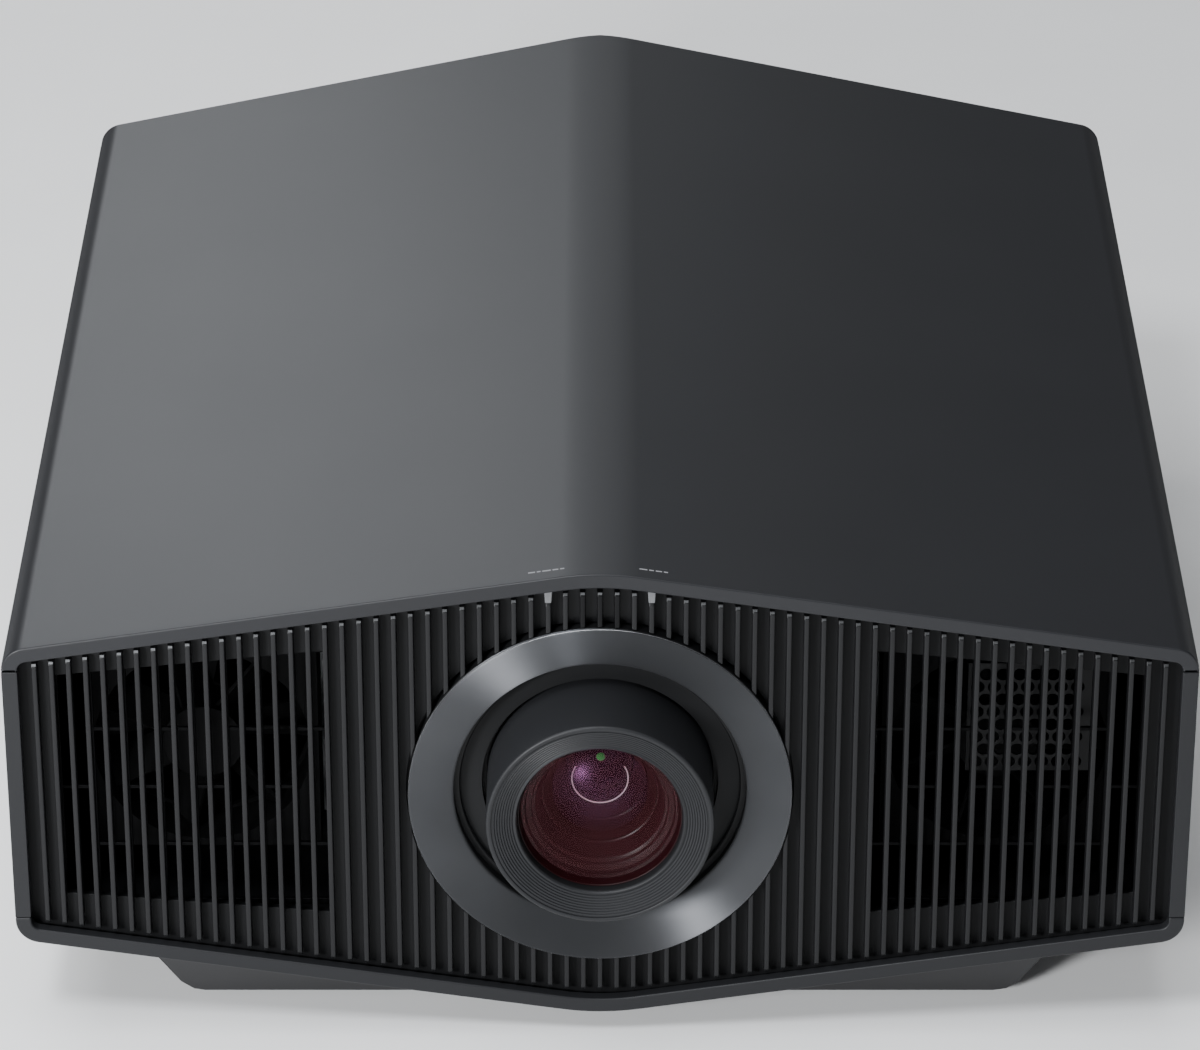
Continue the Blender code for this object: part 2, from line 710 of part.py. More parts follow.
def dome(radius, edge, apex, flat, steps=5):
    """A plano-convex glass: a spherical front from the rim to the axis, and a flat back."""
    sag = edge - apex
    sphere = (radius**2 + sag**2) / (2.0 * sag)
    spread = math.asin(radius / sphere)
    points = []
    for i in range(steps + 1):
        turn = spread * i / steps
        points.append((sphere * math.sin(turn), apex + sphere * (1.0 - math.cos(turn))))
    return points + [(radius, flat), (0.0, flat)]


def make_glass(looks):
    front = dome(GLASS_RADIUS, -15.4 * MM, -19.6 * MM, -9.0 * MM, 4)
    dress(solid("front_element", turned(front, 36)), looks["glass"], 30)
    rear = dome(30.7 * MM, 121.0 * MM, 118.5 * MM, 128.0 * MM, 3)
    dress(solid("rear_element", turned(rear, 24)), looks["glass"], 30)


def tooth_points(angle, radius_in, radius_out, root, tip):
    """Four corners of a straight-flanked tooth. root and tip are its widths at those radii."""
    corners = ((radius_in, -root), (radius_out, -tip), (radius_out, tip), (radius_in, root))
    return [
        (radius * math.cos(angle + width / 2 / radius), radius * math.sin(angle + width / 2 / radius))
        for radius, width in corners
    ]


def make_drive_ring(name, span, angle, looks):
    """A ring round the barrel with a toothed sector facing its pinion."""
    pitch_radius = GEAR_MODULE * RING_TEETH / 2
    inner = pitch_radius - DEDENDUM
    outer = pitch_radius + ADDENDUM
    step = 2.0 * math.pi / RING_TEETH
    outline = []
    for index in range(-SECTOR_HALF_TEETH, SECTOR_HALF_TEETH + 1):
        outline += tooth_points(angle + index * step, inner, outer, *RING_TOOTH)
    start = angle + (SECTOR_HALF_TEETH + 0.6) * step
    sweep = 2.0 * math.pi - 2.0 * (SECTOR_HALF_TEETH + 0.6) * step
    arc_steps = 16
    for i in range(arc_steps + 1):
        turn = start + sweep * i / arc_steps
        outline.append((inner * math.cos(turn), inner * math.sin(turn)))
    ring = solid(name, prism(outline, *span))
    cut(ring, rod(TUBE_RADIUS + RUNNING_GAP, span[0] - MM, span[1] + MM, 32))
    dress(ring, looks["gear"])


def make_pinion(name, span, angle, looks):
    """A pinion with its shaft. Its origin is on its own axis, and a tooth gap faces the ring."""
    radius = GEAR_MODULE * PINION_TEETH / 2
    step = 2.0 * math.pi / PINION_TEETH
    outline = []
    for index in range(PINION_TEETH):
        turn = angle + math.pi + (index + 0.5) * step
        outline += tooth_points(turn, radius - DEDENDUM, radius + ADDENDUM, *PINION_TOOTH)
    origin = DATUM + Vector((GEAR_CENTRES * math.cos(angle), 0.0, GEAR_CENTRES * math.sin(angle)))
    pinion = solid(name, prism(outline, *span), origin)
    join(pinion, rod(SHAFT_RADIUS, span[1] - MM, MOTOR_SPAN[0] + 6.0 * MM, 12))
    dress(pinion, looks["brass"])


def make_drive_motor(name, angle, looks):
    centre = (GEAR_CENTRES * math.cos(angle), GEAR_CENTRES * math.sin(angle))
    motor = solid(name, rod(MOTOR_RADIUS, *MOTOR_SPAN, 24, "Y", centre))
    bore = SHAFT_RADIUS + RUNNING_GAP
    cut(motor, rod(bore, MOTOR_SPAN[0] - MM, MOTOR_SPAN[0] + 7.0 * MM, 12, "Y", centre))
    dress(motor, looks["steel"], 40)


def make_carriages(looks):
    """The lens rides on a sideways carriage, that on an upright one, and that on the fixed base."""
    screw_bore = LEAD_SCREW_RADIUS + RUNNING_GAP
    rail_in, rail_out = RAIL_Z
    cross_y, cross_z = CROSS_SCREW_Y, CROSS_SCREW_Z
    upright_x, upright_y = UPRIGHT_SCREW_X, UPRIGHT_SCREW_Y
    lug_front = 101.0 * MM
    reach = 14.0 * MM

    plate = ((-70 * MM, CARRIAGE_FRONT, -62 * MM), (70 * MM, CARRIAGE_BACK, 62 * MM))
    carriage = solid("horizontal_carriage", boxes(plate))
    join(carriage, boxes(((-8 * MM, CARRIAGE_FRONT, 60 * MM), (8 * MM, CARRIAGE_BACK, 77 * MM))))
    cut(carriage, rod(TUBE_RADIUS + GAP, 90 * MM, 110 * MM, 32))
    cut(carriage, rod(screw_bore, -10 * MM, 10 * MM, 12, "X", (cross_y, cross_z)))
    dress(carriage, looks["alloy"])

    plate = ((-95 * MM, FRAME_FRONT, -70 * MM), (95 * MM, FRAME_BACK, 70 * MM))
    frame = solid("vertical_carriage", boxes(plate))
    rails = []
    for sign in (-1, 1):
        for side in (-1, 1):
            x0, x1 = sorted((side * reach, side * 78 * MM))
            z0, z1 = sorted((sign * rail_in, sign * rail_out))
            rails.append(((x0, CARRIAGE_FRONT + 2 * MM, z0), (x1, FRAME_FRONT + MM, z1)))
    join(frame, boxes(*rails))
    brackets = []
    for side in (-1, 1):
        x0, x1 = sorted((side * 34 * MM, side * 40 * MM))
        brackets.append(((x0, CARRIAGE_FRONT, rail_out - MM), (x1, FRAME_BACK, 77 * MM)))
    join(frame, boxes(*brackets))
    join(frame, boxes(((94 * MM, FRAME_FRONT, -8 * MM), (115 * MM, FRAME_BACK, 8 * MM))))
    join(frame, boxes(((101 * MM, lug_front, -8 * MM), (115 * MM, FRAME_BACK, 8 * MM))))
    cut(frame, rod(48 * MM, 100 * MM, 120 * MM, 28))
    cut(frame, rod(screw_bore, -45 * MM, 45 * MM, 12, "X", (cross_y, cross_z)))
    cut(frame, rod(screw_bore, -12 * MM, 12 * MM, 12, "Z", (upright_x, upright_y)))
    dress(frame, looks["alloy"])

    plate = ((-120 * MM, BASE_FRONT, -76 * MM), (120 * MM, BASE_BACK, 76 * MM))
    base = solid("lens_shift_base", boxes(plate))
    parts = []
    for side in (-1, 1):
        for sign in (-1, 1):
            x0, x1 = sorted((side * 95.5 * MM, side * 100 * MM))
            z0, z1 = sorted((sign * 25 * MM, sign * 76 * MM))
            parts.append(((x0, FRAME_FRONT, z0), (x1, BASE_FRONT + MM, z1)))
    join(base, boxes(*parts))
    for low, high in ((44 * MM, 50 * MM), (-50 * MM, -44 * MM)):
        join(base, boxes(((99 * MM, lug_front, low), (116 * MM, BASE_FRONT + MM, high))))
    cut(base, rod(56 * MM, 110 * MM, 130 * MM, 28))
    cut(base, rod(screw_bore, -55 * MM, 55 * MM, 12, "Z", (upright_x, upright_y)))
    dress(base, looks["alloy"])

    upright_origin = DATUM + Vector((upright_x, upright_y, 0.0))
    upright = rod(LEAD_SCREW_RADIUS, -54 * MM, 53 * MM, 12, "Z")
    dress(solid("vertical_lead_screw", upright, upright_origin), looks["steel"], 40)
    motor = rod(7.5 * MM, -74 * MM, -54.3 * MM, 24, "Z", (upright_x, upright_y))
    dress(solid("vertical_shift_motor", motor), looks["steel"], 40)
    cross_origin = DATUM + Vector((0.0, cross_y, cross_z))
    cross = rod(LEAD_SCREW_RADIUS, -41 * MM, 42 * MM, 12, "X")
    dress(solid("horizontal_lead_screw", cross, cross_origin), looks["steel"], 40)
    motor = rod(5.6 * MM, 42.3 * MM, 62 * MM, 24, "X", (cross_y, cross_z))
    dress(solid("horizontal_shift_motor", motor), looks["steel"], 40)


# ---------------------------------------------------------------- optics, cooling and boards

def make_optics(looks):
    block = solid("optical_block", boxes((BLOCK_LOW, BLOCK_HIGH)))
    inner_low = tuple(value + BLOCK_WALL for value in BLOCK_LOW)
    inner_high = (BLOCK_HIGH[0] - BLOCK_WALL, BLOCK_HIGH[1] - BLOCK_WALL, BLOCK_HIGH[2] + CUT_PAST)
    cut(block, boxes((inner_low, inner_high)))
    cut(block, rod(TUBE_RADIUS, BLOCK_LOW[1] - BLOCK_WALL, BLOCK_LOW[1] + 8 * MM, 28))
    dress(block, looks["alloy"])
    half = PRISM_HALF
    middle = PRISM_DEPTH
    corners = ((-half, middle - half, -half), (half, middle + half, half))
    dress(solid("prism", boxes(corners)), looks["glass"])
    near = half + PANEL_GAP
    far = near + PANEL_THICK
    for name, low, high in (
        ("panel_red", (-far, middle - half, -half), (-near, middle + half, half)),
        ("panel_blue", (near, middle - half, -half), (far, middle + half, half)),
        ("panel_green", (-half, middle + near, -half), (half, middle + far, half)),
    ):
        dress(solid(name, boxes((low, high))), looks["black"])


def make_light_source(looks):
    source = solid("laser_light_source", boxes((SOURCE_LOW, SOURCE_HIGH)))
    grooves = []
    for i in range(9):
        x = SOURCE_LOW[0] + (8 + 12 * i) * MM
        low = (x, SOURCE_LOW[1] - MM, SOURCE_HIGH[2] - 20 * MM)
        high = (x + 6 * MM, SOURCE_HIGH[1] + MM, SOURCE_HIGH[2] + MM)
        grooves.append((low, high))
    cut(source, boxes(*grooves))
    socket = rod(4.3 * MM, SOURCE_LOW[0] - MM, SOURCE_LOW[0] + 12 * MM, 16, "X", WHEEL_PLACE[1:])
    cut(source, socket)
    dress(source, looks["alloy"])
    wheel_origin = DATUM + Vector(WHEEL_PLACE)
    profile = [
        (0.0, -6 * MM),
        (11 * MM, -6 * MM),
        (12 * MM, -1 * MM),
        (WHEEL_RADIUS, -1 * MM),
        (WHEEL_RADIUS, 1 * MM),
        (12 * MM, 1 * MM),
        (11 * MM, 5 * MM),
        (4 * MM, 5 * MM),
        (4 * MM, 18 * MM),
        (0.0, 18 * MM),
    ]
    dress(solid("phosphor_wheel", turned(profile, 24, "X"), wheel_origin), looks["brass"], 30)


def make_heat_sink(looks):
    right_end = SINK_RIGHT
    base_top = SINK_Z[0] + SINK_BASE
    outline = [(right_end, SINK_Z[0])]
    for i in range(SINK_FINS):
        right = right_end - i * SINK_PITCH
        left = right - SINK_FIN
        if i > 0:
            outline.append((right, base_top))
        outline += [(right, SINK_Z[1]), (left, SINK_Z[1])]
        if i < SINK_FINS - 1:
            outline.append((left, base_top))
    outline.append((outline[-1][0], SINK_Z[0]))
    dress(solid("heat_sink", prism(outline, *SINK_Y)), looks["alloy"])


def make_fan(side, sign, looks):
    centre = (sign * FAN_X, 0.0)
    x = sign * FAN_X
    low, high = FAN_SPAN
    square = ((x - FAN_HALF, low, -FAN_HALF), (x + FAN_HALF, high, FAN_HALF))
    frame = solid("fan_frame_" + side, boxes(square))
    cut(frame, rod(FAN_BORE, low - MM, high - 3 * MM, 28, "Y", centre))
    spokes = bmesh.new()
    outer = FAN_BORE - 1.0 * MM
    for i in range(4):
        start = math.radians(90 * i + 12)
        stop = math.radians(90 * i + 78)
        steps = 3
        turns = [start + (stop - start) * j / steps for j in range(steps + 1)]
        arc = [(x + outer * math.cos(t), outer * math.sin(t)) for t in turns]
        hub = [(x + SPOKE_HUB * math.cos(t), SPOKE_HUB * math.sin(t)) for t in turns[::-1]]
        add_prism(spokes, arc + hub, high - 4 * MM, high + MM)
    cut(frame, spokes)
    dress(frame, looks["black"])

    hub = rod(ROTOR_HUB, low + 3 * MM, high - 4 * MM, 28)
    rotor = solid("fan_rotor_" + side, hub, DATUM + Vector((x, 0.0, 0.0)))
    blades = bmesh.new()
    for i in range(BLADES):
        blade = bmesh.new()
        add_box(blade, (ROTOR_HUB - 1.5 * MM, -8 * MM, -0.8 * MM), (FAN_BORE - 1.5 * MM, 8 * MM, 0.8 * MM))
        turn = Matrix.Rotation(2 * math.pi * i / BLADES, 4, "Y")
        tilt = Matrix.Rotation(sign * BLADE_TILT, 4, "X")
        shift = Matrix.Translation((0.0, (low + high) / 2, 0.0))
        bmesh.ops.transform(blade, matrix=shift @ turn @ tilt, verts=blade.verts)
        piece = bpy.data.meshes.new("blade")
        blade.to_mesh(piece)
        blade.free()
        blades.from_mesh(piece)
    join(rotor, blades)
    dress(rotor, looks["black"])


def make_boards(looks):
    supply = solid("power_supply", boxes((SUPPLY_LOW, SUPPLY_HIGH)))
    vents = []
    for i in range(8):
        x = SUPPLY_LOW[0] + (10 + 16 * i) * MM
        vents.append(((x, SUPPLY_LOW[1] - MM, -30 * MM), (x + 6 * MM, SUPPLY_LOW[1] + 3 * MM, 20 * MM)))
    cut(supply, boxes(*vents))
    dress(supply, looks["steel"])
    top = BOARD_Z + BOARD_THICK
    board = solid("main_board", boxes(((-140 * MM, 250 * MM, BOARD_Z), (140 * MM, 420 * MM, top))))
    chips = []
    for i in range(3):
        for j in range(2):
            x = -100 * MM + i * 80 * MM
            y = 275 * MM + j * 75 * MM
            chips.append(((x, y, BOARD_Z + MM), (x + 36 * MM, y + 36 * MM, BOARD_Z + 7 * MM)))
    join(board, boxes(*chips))
    dress(board, looks["board"])


# ---------------------------------------------------------------- rear

def on_rear(x, distance_out, z):
    """A point near the right half of the rear: x across, and a distance out from its outer face."""
    return Vector((x, rear_depth(x) - REAR_RECESS + distance_out, z))


def slot_height(x):
    return roof_line(x) - 22 * MM


def make_rear(looks):
    half = hexagon_half(WALL + GAP)
    made = bmesh.new()
    sides = []
    for out in (-REAR_PLATE, 0.0):
        right = [made.verts.new(on_rear(x, out, z)) for x, z in half]
        left = [made.verts.new(on_rear(-x, out, z)) for x, z in half[1:-1]]
        sides.append((right, [right[0]] + left + [right[-1]]))
    for index in (0, 1):
        for ring in sides[index]:
            made.faces.new(ring)
    for side in (0, 1):
        inner, outer = sides[0][side], sides[1][side]
        for i in range(len(inner) - 1):
            made.faces.new((inner[i], inner[i + 1], outer[i + 1], outer[i]))
    panel = solid("rear_panel", made)

    slots = bmesh.new()
    for index in list(range(-24, -3)) + list(range(4, 9)):
        x = index * SLOT_PITCH
        high = slot_height(x)
        add_box(slots, (x - SLOT_WIDTH / 2, REAR_CUT[0], -high), (x + SLOT_WIDTH / 2, REAR_CUT[1], high))
    cut(panel, slots)
    x0, x1 = FILTER_X
    cut(panel, boxes(((x0, REAR_CUT[0], -FILTER_HALF_HEIGHT), (x1, REAR_CUT[1], FILTER_HALF_HEIGHT))))
    dress(panel, looks["casing"])


def rear_block(x0, x1, out_low, out_high, half_height):
    """A slab that lies parallel to the right half of the rear."""
    made = bmesh.new()
    plan = [
        (x0, on_rear(x0, out_low, 0).y),
        (x1, on_rear(x1, out_low, 0).y),
        (x1, on_rear(x1, out_high, 0).y),
        (x0, on_rear(x0, out_high, 0).y),
    ]
    add_prism(made, plan, -half_height, half_height, "Z")
    return made


def make_filter(looks):
    """A louvred cover that pulls straight back out of the rear, and the foam filter behind it."""
    x0, x1 = FILTER_X
    clear = 0.8 * MM
    height = FILTER_HALF_HEIGHT - clear
    lid = solid("filter_cover", rear_block(x0 + clear, x1 - clear, -REAR_PLATE, 0.0, height))
    slots = bmesh.new()
    for index in range(11, 25):
        x = index * SLOT_PITCH
        if x + SLOT_WIDTH > x1 - 4 * MM:
            continue
        low = (x - SLOT_WIDTH / 2, REAR_CUT[0], -height + 8 * MM)
        high = (x + SLOT_WIDTH / 2, REAR_CUT[1], height - 14 * MM)
        add_box(slots, low, high)
    cut(lid, slots)
    dress(lid, looks["casing"])
    foam = rear_block(x0 + 1.5 * MM, x1 - 1.5 * MM, -REAR_PLATE - 12 * MM, -REAR_PLATE - GAP, height - 2 * MM)
    dress(solid("air_filter", foam), looks["filter"])


# ---------------------------------------------------------------- terminals and buttons

def socket_block(depth, span, half):
    """A block for a socket or its mouth: its depth along the side, its span in x, and its half sizes."""
    low = (span[0], depth - half[0], TERMINAL_Z - half[1])
    high = (span[1], depth + half[0], TERMINAL_Z + half[1])
    return boxes((low, high))


def make_terminals(looks):
    x_out, x_in = TERMINAL_PLATE_X
    edge = 4 * MM
    low = (x_out, TERMINAL_DEPTH[0] - edge, TERMINAL_HEIGHT[0] - edge)
    high = (x_in, TERMINAL_DEPTH[1] + edge, TERMINAL_HEIGHT[1] + edge)
    plate = solid("terminal_plate", boxes((low, high)))
    clear = 0.5 * MM
    ports = [(INLET_DEPTH, INLET_HALF[0] + clear, INLET_HALF[1] + clear)]
    ports += [(depth, HDMI_HALF[0] + GAP, HDMI_HALF[1] + GAP) for depth in HDMI_DEPTHS]
    for depth, wide, tall in ports:
        low = (x_out - MM, depth - wide, TERMINAL_Z - tall)
        high = (x_in + MM, depth + wide, TERMINAL_Z + tall)
        cut(plate, boxes((low, high)))
    dress(plate, looks["steel"])

    inlet = solid("ac_inlet", socket_block(INLET_DEPTH, INLET_X, INLET_HALF))
    cut(inlet, socket_block(INLET_DEPTH, (INLET_X[0] - MM, INLET_FLOOR_X), INLET_MOUTH_HALF))
    pins = []
    for shift, rise in ((-7 * MM, 2 * MM), (0.0, -2 * MM), (7 * MM, 2 * MM)):
        y = INLET_DEPTH + shift
        z = TERMINAL_Z - rise
        pins.append(((PIN_TIP_X, y - MM, z - 2 * MM), (INLET_FLOOR_X + MM, y + MM, z + 2 * MM)))
    join(inlet, boxes(*pins))
    dress(inlet, looks["black"])

    for index, depth in enumerate(HDMI_DEPTHS):
        socket = solid("hdmi_socket_%d" % (index + 1), socket_block(depth, HDMI_X, HDMI_HALF))
        cut(socket, socket_block(depth, (HDMI_X[0] - MM, HDMI_X[1] - 2 * MM), HDMI_MOUTH_HALF))
        dress(socket, looks["steel"])


def make_buttons(looks):
    face = HALF_WIDTH + PANEL_PROUD
    for name, depth, radius in BUTTONS:
        origin = DATUM + Vector((0.0, depth, BUTTON_Z))
        profile = [
            (0.0, face),
            (radius - 0.6 * MM, face),
            (radius, face - 0.6 * MM),
            (radius, face - 7 * MM),
            (0.0, face - 7 * MM),
        ]
        dress(solid(name, turned(profile, 20, "X"), origin), looks["black"], 40)


def main():
    for old in list(bpy.data.objects):
        bpy.data.objects.remove(old)
    looks = make_finishes()
    make_casing(looks)
    make_plinth(looks)
    make_feet(looks)
    make_grille(looks)
    make_lattice("guard_lattice_left", -1, looks)
    make_lattice("guard_lattice_right", 1, looks)
    make_perforated_plate(looks)
    make_status_lights(looks)
    make_trim(looks)
    make_barrel(looks)
    make_glass(looks)
    make_drive_ring("focus_ring", FOCUS_SPAN, FOCUS_ANGLE, looks)
    make_drive_ring("zoom_ring", ZOOM_SPAN, ZOOM_ANGLE, looks)
    make_pinion("focus_pinion", FOCUS_SPAN, FOCUS_ANGLE, looks)
    make_pinion("zoom_pinion", ZOOM_SPAN, ZOOM_ANGLE, looks)
    make_drive_motor("focus_motor", FOCUS_ANGLE, looks)
    make_drive_motor("zoom_motor", ZOOM_ANGLE, looks)
    make_carriages(looks)
    make_optics(looks)
    make_light_source(looks)
    make_heat_sink(looks)
    make_fan("left", -1, looks)
    make_fan("right", 1, looks)
    make_boards(looks)
    make_rear(looks)
    make_filter(looks)
    make_terminals(looks)
    make_buttons(looks)


main()
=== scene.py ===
import json
import math

import bmesh
import bpy
from mathutils import Matrix, Vector


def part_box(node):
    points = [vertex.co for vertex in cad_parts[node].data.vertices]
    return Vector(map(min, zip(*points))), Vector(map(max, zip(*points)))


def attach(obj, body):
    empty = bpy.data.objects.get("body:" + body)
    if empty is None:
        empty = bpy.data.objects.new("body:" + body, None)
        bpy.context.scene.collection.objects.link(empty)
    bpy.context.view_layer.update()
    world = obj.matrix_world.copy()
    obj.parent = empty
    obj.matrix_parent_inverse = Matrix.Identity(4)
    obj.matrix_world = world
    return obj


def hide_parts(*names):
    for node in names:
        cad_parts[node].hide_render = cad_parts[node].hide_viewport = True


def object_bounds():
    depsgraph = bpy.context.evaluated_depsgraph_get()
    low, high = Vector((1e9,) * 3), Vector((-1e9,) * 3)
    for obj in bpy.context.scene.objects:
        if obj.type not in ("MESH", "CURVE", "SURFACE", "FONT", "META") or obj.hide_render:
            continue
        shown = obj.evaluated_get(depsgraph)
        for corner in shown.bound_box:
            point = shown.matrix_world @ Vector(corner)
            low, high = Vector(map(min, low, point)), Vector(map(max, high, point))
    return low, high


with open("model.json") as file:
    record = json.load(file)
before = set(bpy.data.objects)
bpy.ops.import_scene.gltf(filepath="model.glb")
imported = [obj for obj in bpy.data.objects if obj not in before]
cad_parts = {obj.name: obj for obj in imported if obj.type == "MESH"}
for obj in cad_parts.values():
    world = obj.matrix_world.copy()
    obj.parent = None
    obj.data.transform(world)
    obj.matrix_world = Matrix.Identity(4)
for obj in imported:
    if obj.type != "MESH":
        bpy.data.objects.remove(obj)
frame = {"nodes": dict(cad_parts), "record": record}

# The projector's looks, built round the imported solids.
# Pieces are laid out in millimetres from the datum, where the lens axis crosses the casing's front plane.
# x is across, y is the depth behind the front plane, and z is the height above the lens axis.

MM = 0.001
ON_AXIS = 1e-6
CAD_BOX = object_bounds()
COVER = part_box("top_cover")
RING_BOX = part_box("lens_trim_ring")
FRONT_Y = COVER[0].y
AXIS_Z = (RING_BOX[0].z + RING_BOX[1].z) / 2
DATUM = Vector((0.0, FRONT_Y, AXIS_Z))
FLOOR_Z = CAD_BOX[0].z
PLACE = Matrix.Translation(DATUM) @ Matrix.Scale(MM, 4)

# Casing. Its section is a hexagon with rounded corners and ridges.
HALF_WIDTH = 230.0
SIDE_DEPTH = 487.5
REAR_PROW = 29.4
RIDGE_RISE = 100.4
ROOF_SLOPE = 0.1522
CORNER_RADIUS = 10.0
LEAST_CORNER = 0.8
CORNER_STEPS = 14
RIDGE_RADIUS = 100.0
RIDGE_STEPS = 12
RIDGE_HALF = 11.0
FLAT_STEPS = 8
WALL = 3.0
LIP = 6.2
LIP_DEPTH = 5.0
SEAM_TOP = 56.4
SEAM_BOTTOM = -54.9
PANEL_PROUD = 0.5
GAP = 0.3
SHELL_DEPTHS = (150.0, 300.0, 440.0)
PORT_RECESS = (300.0, 470.0, -34.0, 8.0)  # from depth, to depth, bottom, top
PORT_RECESS_RADIUS = 3.0
BUTTON_CLEAR = 0.35
TALL = math.sqrt(1.0 + ROOF_SLOPE**2)
ROOF_ANGLE = math.atan(ROOF_SLOPE)

# Front grille. Depths are from the casing's front plane.
FIN_PITCH = 6.592
FINS_EACH_SIDE = 33
FIN_FRONT = 2.0
FIN_END_CLEAR = 2.4
FIN_NOSE = 1.0
FIN_ROOT = 1.1
FIN_EASE = 0.5
FIN_CHAMFER = 1.3
CHAMFER_BACK = 0.8
# The cap is a thin bright metal strip on each fin's top chamfer, a painted highlight for the glint there.
CAP_HEIGHT = 0.8
CAP_MARGIN = 0.2
CAP_LIFT = 0.1
CAP_THICKNESS = 0.15
BACKING_FRONT = 7.0
BACKING_BACK = 10.0
GRILLE_HOLE = 75.3
WINDOW_OUTLINE = ((210.0, -47.5), (105.0, -56.5), (105.0, 62.0), (210.0, 51.0))
SENSOR_FINS = 1
SENSOR_FLOOR = 6.4
SENSOR_BOTTOM = 60.0
LIGHT_FIN = 3
LIGHT_BOTTOM = 85.8

# Guard lattices and the punched screen behind the grille
LATTICE_DEPTH = (16.0, 18.0)
LATTICE_FINS = (14, 33)
LATTICE_REACH = 58.0
LATTICE_ROWS = (21.6, -4.6, -30.8)
LATTICE_RAIL = 57.4
RAIL_HALF = 1.4
BAR_HALF = 0.75
SCREEN_DEPTH = (24.0, 25.2)
SCREEN_X = (143.2, 191.8)
SCREEN_Z = (-1.8, 46.8)
SCREEN_COLUMNS = 7
HOLE_PITCH = 6.5
HOLE_RADIUS = 2.5

# Printed dashes on the roof's front edge
DASHES = {"left": (2.6, 1.4, 3.2, 2.2, 1.6), "right": (3.0, 1.8, 2.4, 1.6)}
DASH_MIDDLE = 20.5
DASH_GAP = 0.7
DASH_DEPTH = (6.4, 7.2)
DASH_SUNK = 0.02
DASH_THICKNESS = 0.05

# Lens. Pairs are a radius and a depth.
LENS_SEGMENTS = 144
RING_SEGMENTS = 192
RING_BORE = 57.1
RING_SLOPE = 0.2245
PLATE_RADII = (73.7, 70.0, 66.0, 62.0, 58.2)
PLATE_FRONT = 0.95
BAFFLE_STEPS = 8
BAFFLES_OUTER = (41.5, -20.1)
BAFFLES_INNER = (33.6, -17.1)

# Ports on the left side: depths along it, and heights from the lens axis
PORT_PLATE_X = (-225.5, -224.0)
PORT_ROW = -13.0
MAINS_INLET = 442.0
VIDEO_PORTS = (330.0, 360.0)
NETWORK_PORT = 397.0
DATA_PORT = 416.0
NETWORK_PITCH = 1.27
VIDEO_PITCH = 1.0
PORT_HOLES = (
    (MAINS_INLET, (14.5, 11.0)),
    (VIDEO_PORTS[0], (8.0, 3.6)),
    (VIDEO_PORTS[1], (8.0, 3.6)),
    (NETWORK_PORT, (8.2, 7.0)),
    (DATA_PORT, (6.8, 3.0)),
)
JACK_PLACES = ((378.0, -6.0), (378.0, -20.0), (311.0, -13.0))
JACK_SEGMENTS = 32

# Rear, plinth and buttons
REAR_RECESS = 4.0
REAR_LEAN = REAR_PROW / HALF_WIDTH
PLINTH_BOTTOM = -108.5
GRIP_PLACE = (140.0, 36.2)
GRIP_RIB_PITCH = 2.6
SCREW_RADIUS = 2.7
BUTTON_FACE = HALF_WIDTH + PANEL_PROUD
BUTTON_HEIGHT = -8.0
POWER_DEPTH = 350.0
MENU_DEPTH = 375.0
PAD_DEPTH = 405.0

# Camera and lights. The camera's place is in millimetres from the datum.
CAMERA_PLACE = (0.0, -1829.8, 1110.6)
CAMERA_TILT = 61.589
CAMERA_SENSOR = 36.0
CAMERA_LENS = 165.02
FLOOR_REACH = 14.0
WORLD_STRENGTH = 0.16
COOL = (0.93, 0.96, 1.0)
# Each light's name, place, target and size in metres, power in watts, and colour
LIGHTS = (
    ("back_left", (-1.0, 3.1, 1.85), (-0.1, 0.0, 0.15), (0.9, 1.2), 18.0, COOL),
    ("back_centre", (0.0, 3.1, 1.85), (0.0, 0.0, 0.15), (0.9, 1.2), 4.2, COOL),
    ("edge_strip", (-0.62, -1.5, 2.2), (-0.1, -0.25, 0.2), (0.35, 0.5), 42.0, COOL),
    ("front_left", (-1.06, -1.74, 0.68), (0.0, -0.2, 0.1), (0.4, 0.4), 66.0, (0.97, 0.985, 1.0)),
    ("overhead", (-0.7, -0.4, 3.4), (0.0, -0.3, 0.0), (3.0, 3.0), 115.0, (0.96, 0.98, 1.0)),
)

# Where a noise value starts and stops changing a colour or a number
NOISE_LOW = 0.3
NOISE_HIGH = 0.7


# ---------------------------------------------------------------- materials

def new_material(name):
    made = bpy.data.materials.new(name)
    made.use_nodes = True
    tree = made.node_tree
    return made, tree, tree.nodes["Principled BSDF"]


def surface_coords(tree):
    return tree.nodes.new("ShaderNodeTexCoord").outputs["Object"]


def noise(tree, vector, scale, detail=3.0, roughness=0.55, stretch=None):
    if stretch:
        mapping = tree.nodes.new("ShaderNodeMapping")
        mapping.inputs["Scale"].default_value = stretch
        tree.links.new(vector, mapping.inputs["Vector"])
        vector = mapping.outputs["Vector"]
    made = tree.nodes.new("ShaderNodeTexNoise")
    made.inputs["Scale"].default_value = scale
    made.inputs["Detail"].default_value = detail
    made.inputs["Roughness"].default_value = roughness
    tree.links.new(vector, made.inputs["Vector"])
    return made.outputs["Fac"]


def spread(tree, value, low, high):
    """Spreads a noise value over the range from low to high."""
    made = tree.nodes.new("ShaderNodeMapRange")
    made.inputs["From Min"].default_value = NOISE_LOW
    made.inputs["From Max"].default_value = NOISE_HIGH
    made.inputs["To Min"].default_value = low
    made.inputs["To Max"].default_value = high
    tree.links.new(value, made.inputs["Value"])
    return made.outputs["Result"]


def blend_colours(tree, value, first, second):
    ramp = tree.nodes.new("ShaderNodeValToRGB")
    stops = ((NOISE_LOW, first), (NOISE_HIGH, second))
    for element, (position, colour) in zip(ramp.color_ramp.elements, stops):
        element.position = position
        element.color = (*colour, 1.0)
    tree.links.new(value, ramp.inputs["Fac"])
    return ramp.outputs["Color"]


